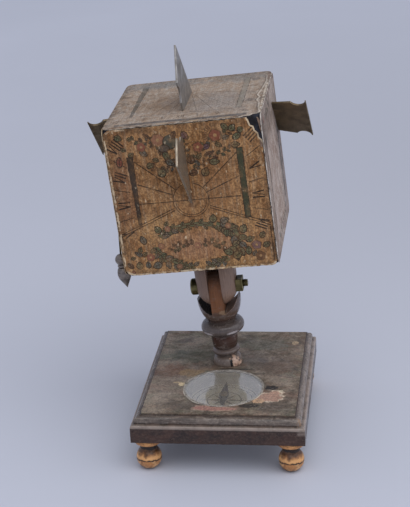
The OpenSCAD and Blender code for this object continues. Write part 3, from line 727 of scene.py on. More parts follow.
@dataclass(frozen=True)
class OldSteel(Finish):
    """Forged steel, fire blued or filed, rusted in spots: one half may be of another tone."""

    name: str
    ground: str
    rust: str
    seed: float = 0.0
    bright: str = ""

    def paint(self, place: Place) -> Material:
        """Paints the steel and its rust.

        Args:
            place: The piece's middle and axes.

        Returns:
            The material.
        """
        coat = Coat(self.name, place, self.ground)
        spots = coat.cloud(self.rust, 0.8, 1.4, 0.52, 0.66, self.seed, detail=5.0)
        if self.bright:
            coat.lay(self.bright, coat.band(1, 0.0, FAR, 0.2), amount=0.85)
        coat.relief((spots, 0.03))
        return coat.done((0.3, 0.7), spots, Metallic=0.9)


@dataclass(frozen=True)
class CastPewter(Finish):
    """Cast and turned pewter, oxidised: soft grey skin with paler rubbed ridges."""

    name: str = "turned_pewter_oxidised"

    def paint(self, place: Place) -> Material:
        """Paints the oxide, the turning marks and the rubs.

        Args:
            place: The bob's middle and axes.

        Returns:
            The material.
        """
        coat = Coat(self.name, place, "#8c8076")
        skin = coat.cloud("#544a42", 0.85, 2.6, 0.38, 0.64, 61.0, detail=6.0)
        marks = coat.cloud("#b1aca6", 0.25, 0.35, 0.36, 0.7, 63.0, (18.0, 18.0, 1.0), 2.0)
        coat.relief((skin, 0.04), (marks, 0.015))
        return coat.done((0.3, 0.55), skin, Metallic=0.75)


@dataclass(frozen=True)
class CoverGlass(Finish):
    """Old crown glass: shiny and faintly grey, with dust and fine scratches that whiten it, and a
    white veil that is partly dust and partly painted reflection.
    """

    name: str = "crown_glass_dust_and_reflection"

    def paint(self, place: Place) -> Material:
        """Paints the dust, and a white veil that is partly painted reflection, on clear glass.

        Args:
            place: The glass's middle and axes.

        Returns:
            The material.
        """
        # The near white ground shows in the share that is not transmitted: a veil, partly dust and
        # partly painted reflection.
        coat = Coat(self.name, place, "#f8f5f0")
        dust = coat.cloud("#e4ded6", 0.5, 7.0, 0.4, 0.75, 71.0, detail=6.0, warp=0.8)
        marks = coat.speckle(0.6, 0.62, 0.7, 73.0, (9.0, 1.0, 1.0), 3.0)
        coat.relief((dust, 0.01))
        return coat.done((0.02, 0.2), marks, Transmission_Weight=0.89, IOR=1.5, Coat_Weight=1.0)


@dataclass(frozen=True)
class StudioCard(Finish):
    """Matt grey-blue background card, seamless: an even tone with a faint tooth, and one broad
    patch of painted shade behind and to the right of the object.
    """

    name: str = "background_card_matt"
    ground: str = "#ccd0de"

    def paint(self, place: Place) -> Material:
        """Paints the card and its patch of painted shade.

        Args:
            place: The floor's middle and axes.

        Returns:
            The material.
        """
        coat = Coat(self.name, place, self.ground)
        tooth = coat.cloud("#c7cbd9", 0.5, 120.0, 0.3, 0.7, 81.0, detail=2.0)
        # Painted shade: a broad, soft, darker pool on the floor, behind and to the right of the
        # object.
        coat.lay("#b7bac6", coat.patch((230.0, 330.0, 0.0), (420.0, 420.0, FAR), 0.0, 83.0, 0.8))
        return coat.done((0.85, 0.95), tooth, Specular_IOR_Level=0.1)


class Ink(Enum):
    """Colours of the print, as they look on browned paper."""

    BLACK = "#1f1711"
    GREEN = "#535c42"
    BLUE_GREEN = "#4f5953"
    OLIVE = "#605b40"
    RED = "#793f33"
    PINK = "#875a46"
    PURPLE = "#634954"
    CREAM = "#b08f66"
    BROWN = "#5a3d2a"


BLACK = Ink.BLACK.value


def hour_angle(hour: int) -> float:
    """How far the sun turns in so many hours, in radians."""
    return radians(15 * hour)


def ccw(points: Sequence[Point]) -> list[Point]:
    """The same loop, running counter-clockwise."""
    turn = sum(a[0] * b[1] - b[0] * a[1] for a, b in zip(points, [*points[1:], points[0]]))
    return list(points) if turn > 0 else list(points)[::-1]


def on_oval(at: Point, wide: float, high: float, angle: float) -> Point:
    """A point of an oval by its angle in radians."""
    return at[0] + wide * cos(angle), at[1] + high * sin(angle)


def sweep(at: Point, wide: float, high: float, start: float, end: float, steps: int) -> list[Point]:
    """Points of an oval from one angle to another, both in degrees."""
    return [on_oval(at, wide, high, radians(start + (end - start) * i / steps))
            for i in range(steps + 1)]


@dataclass
class Print:
    """Printed areas of one sheet, in millimetres from its middle, in the order they were laid."""

    seed: int
    shapes: list[tuple[list[Point], str, float]] = field(default_factory=list)

    def __post_init__(self) -> None:
        """Starts the sheet's own unsteady hand."""
        self.hand = random.Random(self.seed)

    def area(self, points: Sequence[Point], colour: str, cover: float = 1.0) -> None:
        """Adds one area by its corners, hex colour and how much of the paper it hides."""
        self.shapes.append((ccw(points), colour, cover))

    def ribbon(self, path: Sequence[Point], width: float, colour: str, cover: float = 0.9,
               taper: float = 1.0) -> None:
        """Adds a line of some width.

        Args:
            path: Points along it.
            width: Its width at the start.
            colour: Hex colour.
            cover: How much of the paper it hides.
            taper: Its width at the end, as a share of the first.
        """
        left, right = [], []
        last = len(path) - 1
        for i, here in enumerate(path):
            ahead, behind = path[min(i + 1, last)], path[max(i - 1, 0)]
            dx, dy = ahead[0] - behind[0], ahead[1] - behind[1]
            size = hypot(dx, dy) or 1.0
            half = 0.5 * width * (1.0 + (taper - 1.0) * i / last)
            left.append((here[0] - dy / size * half, here[1] + dx / size * half))
            right.append((here[0] + dy / size * half, here[1] - dx / size * half))
        self.area(right + left[::-1], colour, cover)

    def arc(self, middle: Point, radius: float, start: float, end: float, width: float,
            cover: float) -> None:
        """Adds part of a circle's line in black.

        Args:
            middle: The circle's middle.
            radius: Its radius.
            start: First angle, in degrees.
            end: Last angle, in degrees.
            width: The line's width.
            cover: How much of the paper it hides.
        """
        steps = max(6, int(abs(end - start) / 8))
        path = sweep(middle, radius, radius, start, end, steps)
        self.ribbon(path, width, BLACK, cover)

    def ring(self, middle: Point, radius: float, width: float, cover: float,
             first: int = 0) -> None:
        """Adds a circle's line in black by quarters, from the first wanted one on."""
        for quarter in range(first, 4):
            self.arc(middle, radius, 90 * quarter, 90 * quarter + 90, width, cover)

    def leaf(self, at: Point, angle: float, length: float, width: float, ink: Ink,
             cover: float = 0.9) -> None:
        """Adds a washed leaf with a dark edge and midrib.

        Args:
            at: Its middle.
            angle: Where it points, in degrees.
            length: Its length.
            width: Its width.
            ink: Its wash.
            cover: How much of the paper it hides.
        """
        along = (cos(radians(angle)), sin(radians(angle)))

        def spot(s: float, out: float) -> Point:
            """A point of the leaf by its places along and across the midrib."""
            return (at[0] + along[0] * s - along[1] * out, at[1] + along[1] * s + along[0] * out)

        steps = 8
        wash = cover * self.hand.uniform(0.65, 1.05)
        for grow, colour, hide in ((1.0, BLACK, cover), (0.76, ink.value, wash)):
            upper, lower = [], []
            for i in range(steps + 1):
                t = i / steps
                half = 0.5 * width * grow * sin(pi * t ** 0.85) ** 0.75
                half *= 1.0 + 0.14 * (i % 2)
                upper.append(spot(length * (t - 0.5) * grow, half))
                lower.append(spot(length * (t - 0.5) * grow, -half))
            self.area(lower + upper[-2:0:-1], colour, hide)
        self.ribbon([spot(-0.42 * length, 0.0), spot(0.36 * length, 0.0)], 0.3, BLACK, cover)
        for s in (-0.2, 0.1):
            for side in (-1, 1):
                vein = [spot(s * length, 0.0), spot((s + 0.14) * length, side * 0.3 * width)]
                self.ribbon(vein, 0.22, BLACK, cover)

    def leaves(self, rows: Sequence[tuple[float, float, float, float, float, Ink]],
               about: Point = (0.0, 0.0)) -> None:
        """Adds leaves about a point, each by its middle, angle, length, width and wash."""
        for x, y, angle, length, width, ink in rows:
            self.leaf((about[0] + x, about[1] + y), angle, length, width, ink)

    def flowers(self, rows: Sequence[tuple[float, float, float, Ink]],
                about: Point = (0.0, 0.0)) -> None:
        """Adds flowers about a point, each by its middle, radius and wash."""
        for x, y, radius, ink in rows:
            self.flower((about[0] + x, about[1] + y), radius, ink)

    def flower(self, at: Point, radius: float, ink: Ink, petals: int = 5,
               cover: float = 0.72) -> None:
        """Adds a washed flower with a lobed edge and a pale heart.

        Args:
            at: Its middle.
            radius: Its radius.
            ink: Its wash.
            petals: How many lobes it has.
            cover: How much of the paper it hides.
        """
        turn, corners = self.hand.uniform(0.0, tau), petals * 5
        for grow, colour, hide in ((1.0, BLACK, 0.7 * cover), (0.84, ink.value, cover)):
            points = []
            for i in range(corners):
                a = turn + tau * i / corners
                r = radius * grow * (0.8 + 0.2 * abs(cos(petals * (a - turn) / 2)))
                points.append(on_oval(at, r, r, a))
            self.area(points, colour, hide)
        heart = radius * 0.26
        self.blot(at, heart, heart, Ink.CREAM.value, 0.3, 8, 0.1)

    def blot(self, at: Point, wide: float, high: float, colour: str, cover: float,
             corners: int = 26, ragged: float = 0.22) -> None:
        """Adds a patch with an uneven edge.

        Args:
            at: Its middle.
            wide: Half its width.
            high: Half its height.
            colour: Hex colour.
            cover: How much of the paper it hides.
            corners: How many points its edge has.
            ragged: How uneven its edge is.
        """
        points = []
        bites = [self.hand.uniform(-ragged, ragged) for _ in range(corners)]
        for i in range(corners):
            a = tau * i / corners
            r = 1.0 + 0.6 * bites[i] + 0.4 * (bites[i - 1] + bites[i - 2])
            points.append(on_oval(at, wide * r, high * r, a))
        self.area(points, colour, cover)

    def spray(self, path: Sequence[Point], leaves: int, size: float,
              inks: Sequence[Ink] = (Ink.GREEN, Ink.OLIVE, Ink.BLUE_GREEN),
              cover: float = 0.9) -> None:
        """Adds a stem with leaves on both sides.

        Args:
            path: Points along the stem.
            leaves: How many leaves it has.
            size: Length of a leaf.
            inks: Washes to choose from.
            cover: How much of the paper it hides.
        """
        self.ribbon(path, 0.35, BLACK, 0.83 * cover, 0.6)
        last, lean = len(path) - 1, 52.0
        for i in range(leaves):
            s = (i + 0.7) / leaves * last
            k = min(int(s), last - 1)
            a, b = path[k], path[k + 1]
            at = (a[0] + (b[0] - a[0]) * (s - k), a[1] + (b[1] - a[1]) * (s - k))
            along = degrees(atan2(b[1] - a[1], b[0] - a[0]))
            along += lean if i % 2 else -lean
            long = size * self.hand.uniform(0.8, 1.2)
            turn = radians(along + self.hand.uniform(-14, 14))
            tip = on_oval(at, 0.5 * long, 0.5 * long, turn)
            ink = self.hand.choice(list(inks))
            self.leaf(tip, degrees(turn), long, long * 0.62, ink, cover)

    def garland(self, middle: Point, wide: float, high: float, start: float, end: float,
                size: float) -> None:
        """Adds a dense row of leaves along part of an oval.

        Args:
            middle: The oval's middle.
            wide: Half its width.
            high: Half its height.
            start: First angle, in degrees.
            end: Last angle, in degrees.
            size: Length of a leaf.
        """
        steps = max(8, int(abs(end - start) / 6))
        path = sweep(middle, wide, high, start, end, steps)
        self.ribbon(path, size * 0.95, BLACK, 0.8, 0.7)
        self.ribbon(path, size * 0.7, Ink.GREEN.value, 0.85, 0.7)
        self.spray(path, steps, size)

    def numeral(self, hour: int, at: Point, angle: float, height: float,
                cover: float = 0.8) -> None:
        """Adds a Roman hour number, its strokes along an angle.

        Args:
            hour: 1 to 12.
            at: Its middle.
            angle: Which way its strokes point, in degrees.
            height: Length of a stroke.
            cover: How much of the paper it hides.
        """
        text = NUMERALS[hour - 1]
        up = (cos(radians(angle)), sin(radians(angle)))
        right = (up[1], -up[0])
        gap = 0.24 * height
        widths = {"I": gap, "V": 2.0 * gap, "X": 2.0 * gap}
        x = -0.5 * sum(widths[c] for c in text)
        for c in text:
            for top, foot, thick in STROKES[c]:
                ends = []
                for share, rise in ((top, 0.5), (foot, -0.5)):
                    s, r = x + share * widths[c], rise * height
                    ends.append((at[0] + right[0] * s + up[0] * r,
                                 at[1] + right[1] * s + up[1] * r))
                self.ribbon(ends, thick, BLACK, cover)
            x += widths[c]


def fraying(x: float, y: float, seed: float, octaves: int = 4) -> float:
    """How far a torn edge strays at a point, about -1 to 1."""
    return noise.fractal(Vector((x, y, seed)), 0.8, 2.0, octaves)


def ragged_square(half: float, radii: Sequence[float], bite: float, seed: int,
                  step: float = 0.7) -> list[Point]:
    """The outline of a glued sheet whose corners have rounded and whose edges have frayed.

    Args:
        half: Half its side.
        radii: Corner radii: right top, left top, left bottom, right bottom.
        bite: How deep the fraying goes.
        seed: Picks the fraying.
        step: Distance between points.

    Returns:
        Its corners, counter-clockwise from the right edge's upper end.
    """
    walk: list[Point] = []
    for k, (sx, sy) in enumerate(((1, 1), (-1, 1), (-1, -1), (1, -1))):
        r = radii[k]
        walk += sweep((sx * (half - r), sy * (half - r)), r, r, 90.0 * k, 90.0 * k + 90.0, 8)
    points: list[Point] = []
    for a, b in zip(walk, [*walk[1:], walk[0]]):
        count = max(1, int(dist(a, b) / step))
        points += [(a[0] + (b[0] - a[0]) * i / count, a[1] + (b[1] - a[1]) * i / count)
                   for i in range(count)]
    frayed = []
    for x, y in points:
        fray = bite * (0.35 + 0.65 * min(1.0, abs(fraying(x * 0.45, y * 0.45, seed))))
        size = hypot(x, y)
        frayed.append((x - x / size * fray, y - y / size * fray))
    return frayed


def ragged_circle(radius: float, bite: float, seed: int, count: int = 120) -> list[Point]:
    """The outline of a round cut whose edge has frayed.

    Args:
        radius: Its radius.
        bite: How far the edge strays, inwards and outwards.
        seed: Picks the fraying.
        count: How many points it has.

    Returns:
        Its corners, counter-clockwise.
    """
    points = []
    for i in range(count):
        a = tau * i / count
        stray = 1.4 * fraying(cos(a) * 2.5, sin(a) * 2.5, seed, 5)
        r = radius + bite * max(-1.0, min(1.0, stray))
        points.append(on_oval((0.0, 0.0), r, r, a))
    return points


@dataclass
class Sheet:
    """A sheet of paper cut to an outline, its print pressed into the mesh as areas of colour."""

    name: str
    place: Place
    outline: list[Point]
    thick: float
    design: Print
    holes: list[list[Point]] = field(default_factory=list)
    rim: float = 0.0
    rim_at: Callable[[float, float], bool] = lambda x, y: True

    def mesh(self) -> Object:
        """Cuts the sheet along its print and closes it with walls and an underside.

        Returns:
            The new object.
        """
        loops = [self.outline, *self.holes]
        if self.rim:
            loops.append([(x - x / hypot(x, y) * self.rim, y - y / hypot(x, y) * self.rim)
                          for x, y in self.outline])
        first = len(loops)
        loops += [points for points, _, _ in self.design.shapes]
        corners, faces = [], []
        for loop in loops:
            faces.append(list(range(len(corners), len(corners) + len(loop))))
            corners += [Vector(p) for p in loop]
        spots, _, cuts, _, _, owners = delaunay_2d_cdt(corners, [], faces, 1, SNAP, True)
        kept, inks, rims = [], [], []
        cut_out = set(range(1, 1 + len(self.holes)))
        inner = first - 1 if self.rim else -1
        for cut, owner in zip(cuts, owners):
            owned = set(owner)
            if 0 not in owned or owned & cut_out:
                continue
            top = max(owned)
            ink = CLEAR
            if top >= first:
                _, colour, cover = self.design.shapes[top - first]
                ink = (*linear(colour)[:3], cover)
            mid = sum((spots[i] for i in cut), Vector((0.0, 0.0))) / len(cut)
            kept.append(list(cut))
            inks.append(ink)
            rims.append(1.0 if inner >= 0 and inner not in owned and self.rim_at(*mid) else 0.0)
        return self._close(spots, kept, inks, rims)

    def _close(self, spots: list[Vector], tops: list[list[int]], inks: list[Rgba],
               rims: list[float]) -> Object:
        """Adds walls and an underside and writes the attributes.

        Args:
            spots: Flat points.
            tops: Upper faces.
            inks: Print colour and cover of each upper face.
            rims: Whether each upper face is in the frayed rim.

        Returns:
            The new object.
        """
        count = len(spots)
        verts = [self.place.point(p.x, p.y, self.thick) for p in spots]
        verts += [self.place.point(p.x, p.y) for p in spots]
        seen = dict.fromkeys(pair for cut in tops for pair in zip(cut, [*cut[1:], cut[0]]))
        walls = [[b, a, a + count, b + count] for a, b in seen if (b, a) not in seen]
        under = [[i + count for i in reversed(cut)] for cut in tops]
        data = bpy.data.meshes.new(self.name)
        data.from_pydata(verts, [], tops + walls + under)
        plain = [CLEAR] * (len(walls) + len(under))
        ink = data.attributes.new("print", "FLOAT_COLOR", "FACE")
        for i, value in enumerate(inks + plain):
            ink.data[i].color = value
        rim = data.attributes.new("rim", "FLOAT", "FACE")
        for i, value in enumerate(rims + [1.0] * len(walls) + [0.0] * len(under)):
            rim.data[i].value = value
        tidy = bmesh.new()
        tidy.from_mesh(data)
        bmesh.ops.delete(tidy, geom=[v for v in tidy.verts if not v.link_faces], context="VERTS")
        tidy.to_mesh(data)
        tidy.free()
        return show(data)


def show(data: Mesh) -> Object:
    """Puts a mesh into the scene under its own name.

    Args:
        data: The mesh.

    Returns:
        The new object.
    """
    piece = bpy.data.objects.new(data.name, data)
    bpy.context.collection.objects.link(piece)
    return piece


def hand_in(piece: Object, body: str, slot: str, finish: Material, *stands_for: str) -> None:
    """Dresses a piece, lets it ride on its body and reports it.

    Args:
        piece: The finished piece.
        body: The body that it moves with.
        slot: The record's slot for its finish; not used.
        finish: Its material.
        *stands_for: CAD nodes that it replaces.
    """
    piece.data.materials.clear()
    piece.data.materials.append(finish)
    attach(piece, body)
    if stands_for:
        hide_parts(*stands_for)
    LOG.info("%s on %s: %d faces, %s", piece.name, body, len(piece.data.polygons), finish.name)


def worn_copy(node: Object, name: str, edge: float, smooth: float = 32.0) -> Object:
    """A CAD node's shape with its edges rubbed round and its curves shaded smooth.

    Args:
        node: The CAD node.
        name: The new piece's name.
        edge: Width of the rubbed edges.
        smooth: Angle in degrees up to which faces run into each other.

    Returns:
        The new object, with the rubbed faces marked in the attribute "worn".
    """
    shape = bmesh.new()
    shape.from_mesh(node.data)
    bmesh.ops.remove_doubles(shape, verts=shape.verts, dist=WELD)
    bmesh.ops.dissolve_degenerate(shape, dist=WELD / 2, edges=shape.edges)
    worn = shape.faces.layers.float.new("worn")
    if edge:
        bmesh.ops.dissolve_limit(shape, angle_limit=FLAT, verts=shape.verts, edges=shape.edges)
        sharp = [e for e in shape.edges if len(e.link_faces) == 2
                 and e.calc_face_angle(0.0) > radians(smooth)]
        made = bmesh.ops.bevel(shape, geom=sharp, offset=edge * MM, segments=2, profile=0.5,
                               affect="EDGES", clamp_overlap=True)
        for face in made["faces"]:
            face[worn] = 1.0
    for face in shape.faces:
        face.smooth = True
    data = bpy.data.meshes.new(name)
    shape.to_mesh(data)
    shape.free()
    data.set_sharp_from_angle(angle=radians(smooth))
    piece = show(data)
    if edge:
        flats = piece.modifiers.new("flats", "WEIGHTED_NORMAL")
        flats.keep_sharp = True
        seen = piece.evaluated_get(bpy.context.evaluated_depsgraph_get())
        piece.data = bpy.data.meshes.new_from_object(seen)
        piece.modifiers.clear()
    return piece


def dress(frame: Frame, node: str, name: str, edge: float, body: str, slot: str,
          finish: Material) -> None:
    """Hands in a worn copy of one CAD node under a new name, with its edges rubbed so wide."""
    hand_in(worn_copy(frame["nodes"][node], name, edge), body, slot, finish, node)


def middle_of(node: str, axes: Matrix = LEVEL) -> Place:
    """The middle of a CAD node's box, with some axes."""
    return Place(sum(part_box(node), Vector()) / 2.0, axes)


def joint(frame: Frame, name: str) -> dict[str, Any]:
    """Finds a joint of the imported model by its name."""
    return next(j for j in frame["joints"] if j["name"] == name)


def grown(name: str, tree: NodeTree, sizes: dict[str, Any]) -> Mesh:
    """Runs a Geometry Nodes tree and keeps its result as a plain mesh.

    Args:
        name: The new mesh's name.
        tree: The tree.
        sizes: Values of its named inputs.

    Returns:
        The mesh.
    """
    seed = show(bpy.data.meshes.new(name + "_seed"))
    step = seed.modifiers.new("grow", "NODES")
    step.node_group = tree
    for item in tree.interface.items_tree:
        if item.item_type == "SOCKET" and item.in_out == "INPUT" and item.name in sizes:
            step[item.identifier] = sizes[item.name]
    shape = seed.evaluated_get(bpy.context.evaluated_depsgraph_get())
    data = bpy.data.meshes.new_from_object(shape)
    data.name = name
    seed.modifiers.clear()
    bpy.data.objects.remove(seed)
    return data


def new_tree(name: str, inputs: dict[str, str]) -> tuple[NodeTree, bpy.types.Node]:
    """Starts a Geometry Nodes tree with named inputs.

    Args:
        name: The tree's name.
        inputs: Names and kinds of its inputs.

    Returns:
        The tree and its node of inputs.
    """
    tree = bpy.data.node_groups.new(name, "GeometryNodeTree")
    tree.interface.new_socket("Geometry", in_out="OUTPUT", socket_type="NodeSocketGeometry")
    for key, kind in inputs.items():
        tree.interface.new_socket(key, in_out="INPUT", socket_type="NodeSocket" + kind)
    return tree, tree.nodes.new("NodeGroupInput")


def close_tree(tree: NodeTree, shape: Socket, lift: Socket, finish: Socket) -> None:
    """Ends a Geometry Nodes tree with a plain, lifted and dressed shape.

    Args:
        tree: The tree.
        shape: What it has made.
        lift: How far the shape goes up.
        finish: The shape's material.
    """
    plain = wire(tree, "GeometryNodeRealizeInstances", {0: shape})
    shift = wire(tree, "ShaderNodeCombineXYZ", {2: lift})
    lifted = wire(tree, "GeometryNodeTransform", {0: plain, "Translation": shift})
    dressed = wire(tree, "GeometryNodeSetMaterial", {0: lifted, "Material": finish})
    wire(tree, "NodeGroupOutput", {0: dressed})


class DialFace(Enum):
    """The five dials: node, right and up in the cube's axes, slot."""

    NORTH = ("north_dial_paper", (1, 0, 0), (0, 0, 1), "dial_paper")
    SOUTH = ("south_dial_paper", (-1, 0, 0), (0, 0, 1), "dial_paper")
    EAST = ("east_dial_paper", (0, -1, 0), (0, 0, 1), "dial_paper")
    WEST = ("west_dial_paper", (0, 1, 0), (0, 0, 1), "dial_paper_pale")
    TOP = ("top_dial_paper", (1, 0, 0), (0, 1, 0), "dial_paper_grey")

    @property
    def node(self) -> str:
        """The CAD node that the sheet stands for."""
        return self.value[0]

    @property
    def slot(self) -> str:
        """The record's slot for its finish."""
        return self.value[3]

    def axes(self) -> Matrix:
        """Right, up and out, in the cube's axes."""
        right, up = Vector(self.value[1]), Vector(self.value[2])
        return Matrix((right, up, right.cross(up))).transposed()


PAPERS = {
    DialFace.NORTH: PrintedPaper(
        "printed_paper_browned", "#a67749", "#7b5331", "#cf9f6b", "#dfc9a8", print_left=1.0,
        seed=0.0, rubbed=0.45, tinted_patches=(
            (-20.0, -12.0, 10.0, 5.0, "#c89a66"), (0.0, -22.0, 14.0, 6.0, "#b78861"),
            (11.0, 8.0, 9.0, 12.0, "#94673f"), (0.0, -33.0, 32.0, 2.6, "#c99a64"),
            (20.0, -13.0, 9.0, 4.0, "#bf905c"), (-29.0, 6.0, 5.0, 20.0, "#84583c"))),
    DialFace.SOUTH: PrintedPaper(
        "printed_paper_browned_south", "#ab8051", "#815a38", "#cba26f", "#dfc9a8", print_left=0.98,
        seed=20.0, rubbed=0.46),
    DialFace.EAST: PrintedPaper(
        "printed_paper_browned_east", "#aa8358", "#836040", "#c8a375", "#dfc9a8", print_left=0.95,
        seed=40.0, rubbed=0.46),
    DialFace.WEST: PrintedPaper(
        "printed_paper_bleached", "#bba699", "#94796a", "#dccec3", "#f2ebe2", print_left=0.85,
        seed=60.0, rubbed=0.46, streaks=0.42, fibre=0.34, spots=0.4, tinted_patches=(
            (-12.0, 25.0, 26.0, 7.0, "#5d4836"), (-31.0, 22.0, 6.0, 13.0, "#4d3826"),
            # The last patch on the next line, grey along the right edge, is painted shade.
            (-29.0, -20.0, 5.0, 16.0, "#7d6350"), (28.0, -4.0, 9.0, 30.0, "#7b7274"))),
    DialFace.TOP: PrintedPaper(
        "printed_paper_dusty", "#ac9784", "#917964", "#b8aea3", "#d9cdbe", print_left=0.68,
        seed=80.0, rubbed=0.45, streaks=0.2, fibre=0.34, spots=0.35, tinted_patches=(
            # The first two patches are painted light and shade: the pale one left of the gnomon
            # lifts the shade it casts, the grey one on the right darkens the lit side.
            (-11.0, -4.0, 10.0, 12.0, "#957a60"), (14.0, -9.0, 15.0, 14.0, "#948b85"),
            (-16.0, 28.0, 18.0, 5.0, "#6d7275"), (22.0, 28.0, 13.0, 6.0, "#7d7a77"))),
}
# Torn corners: a spot off the sheet, then points along the tear.
TEARS = {
    DialFace.NORTH: ((33.4, 36.0), (29.0, 35.4), (29.9, 33.5), (30.5, 31.3), (31.8, 30.7),
                     (32.2, 28.8), (33.5, 27.5), (33.7, 25.4), (34.9, 24.1), (35.6, 22.2)),
    DialFace.TOP: ((40.0, -40.0), (35.6, -29.0), (33.6, -31.6), (31.8, -32.0), (30.6, -33.7),
                   (27.6, -34.2), (25.4, -35.6)),
}


@dataclass
class DialCube:
    """The wooden cube with its five printed papers and five brass gnomons."""

    frame: Frame
    side: float = 70.0
    paper: float = 0.3
    sheet_half: float = 35.1
    rim: float = 0.95
    rim_from: float = 33.0
    filed: float = 0.12

    def __post_init__(self) -> None:
        """Finds the cube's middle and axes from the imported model."""
        low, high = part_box("cube_block")
        tilt = joint(self.frame, "cube_tilt")
        middle = (low + high) / 2.0
        right = Vector(tilt["axis"]).normalized()
        up = (middle - Vector(tilt["pos_m"])).normalized()
        self.place = Place(middle, Matrix((right, up.cross(right), up)).transposed())

    def face_place(self, face: DialFace) -> Place:
        """The middle and axes of one face of the cube."""
        axes = self.place.axes @ face.axes()
        return Place(self.place.origin + axes.col[2] * self.side / 2 * MM, axes)

    def build(self) -> None:
        """Builds and dresses the wood, the papers and the plates."""
        wood = StainedWood("limewood_cube_stained", "#1d1b1e", "#131215", "#6a6c74", "#383c46",
                           stretch=(1.0, 1.0, 16.0), rough=(0.7, 0.85), seed=2.0, gloss=0.15)
        dress(self.frame, "cube_block", "cube_worn", 0.0, "cube", "cube_wood",
              wood.paint(self.place))
        for face in DialFace:
            self.paste(face)
        self.plates()

    def paste(self, face: DialFace) -> None:
        """Makes one dial's sheet and its finish.

        Args:
            face: Which dial.
        """
        place, finish, torn = self.face_place(face), PAPERS[face], TEARS.get(face, ())
        fray = {DialFace.NORTH: 0.8, DialFace.SOUTH: 0.5}.get(face, 0.35)
        radii = {DialFace.NORTH: (2.4, 3.4, 4.2, 2.6)}.get(face, (3.4, 3.2, 3.0, 3.6))
        seed = 3 + list(DialFace).index(face)
        outline = ragged_square(self.sheet_half, radii, fray, seed)
        design = DialPrint(face, seed).draw()
        sheet = Sheet(face.node.replace("_paper", "_sheet"), place, outline, self.paper, design,
                      rim=self.rim, rim_at=self.rim_rule(face))
        if torn:
            design.ribbon([(34.5, 36.0), (35.2, 21.0)], 2.6, "#8a7365", 0.9)
            design.ribbon(torn[1:], 1.3, finish.scuff, 0.95)
            sheet.holes.append(ccw(torn))
        hand_in(sheet.mesh(), "cube", face.slot, finish.paint(place), face.node)

    def rim_rule(self, face: DialFace) -> Callable[[float, float], bool]:
        """Says where a sheet's rim has gone pale.

        Args:
            face: Which dial.

        Returns:
            A test of a point on the sheet.
        """
        far = self.rim_from
        if face is DialFace.TOP:
            return lambda x, y: x > far and y < 16.0
        if face is DialFace.WEST:
            return lambda x, y: x < -far
        return lambda x, y: x < -far or y < -far or (x < -24.0 and y > far)

    def plates(self) -> None:
        """Dresses the five gnomon plates."""
        pale = OldBrass("gnomon_brass_rubbed", "#b5a794", "#908371", "#958a73", seed=5.0)
        brass = OldBrass("gnomon_brass_tarnished", "#79674d", "#514331", "#a99a7e", seed=7.0)
        grey = OldBrass("gnomon_brass_greyed", "#9b9793", "#7d7872", "#c9c4bc", seed=9.0, metal=0.7)
        for side in ("north", "south", "east", "west", "top"):
            node = f"{side}_gnomon"
            kind = {"top": grey, "north": pale, "south": pale}.get(side, brass)
            slot = "gnomon_brass_grey" if side == "top" else "gnomon_brass"
            dress(self.frame, node, f"{side}_gnomon_filed", self.filed, "cube", slot,
                  kind.paint(middle_of(node, self.place.axes)))


@dataclass(frozen=True)
class Fan:
    """Hour lines that spread from a middle, each with its number past its end."""

    middle: Point
    clear: float
    line_half: float
    number_half: float
    line: float
    height: float
    line_cover: float
    number_cover: float

    def ray(self, design: Print, hour: int, angle: float, line_deep: float,
            number_deep: float) -> None:
        """Draws one hour's line and its number.

        Args:
            design: The print.
            hour: Hours after noon.
            angle: The line's angle from straight down.
            line_deep: How far up or down the line may reach.
            number_deep: The same for the number.
        """
        way = (sin(angle), -cos(angle))
        spots = []
        for wide, deep in ((self.line_half, line_deep), (self.number_half, number_deep)):
            reach = min(wide / max(abs(way[0]), TINY), deep / max(abs(way[1]), TINY))
            spots.append((self.middle[0] + way[0] * reach, self.middle[1] + way[1] * reach))
        near = (self.middle[0] + way[0] * self.clear, self.middle[1] + way[1] * self.clear)
        design.ribbon([near, spots[0]], self.line, BLACK, self.line_cover)
        design.numeral((hour - 1) % 12 + 1, spots[1],
                       degrees(atan2(-way[1], -way[0])), self.height, self.number_cover)


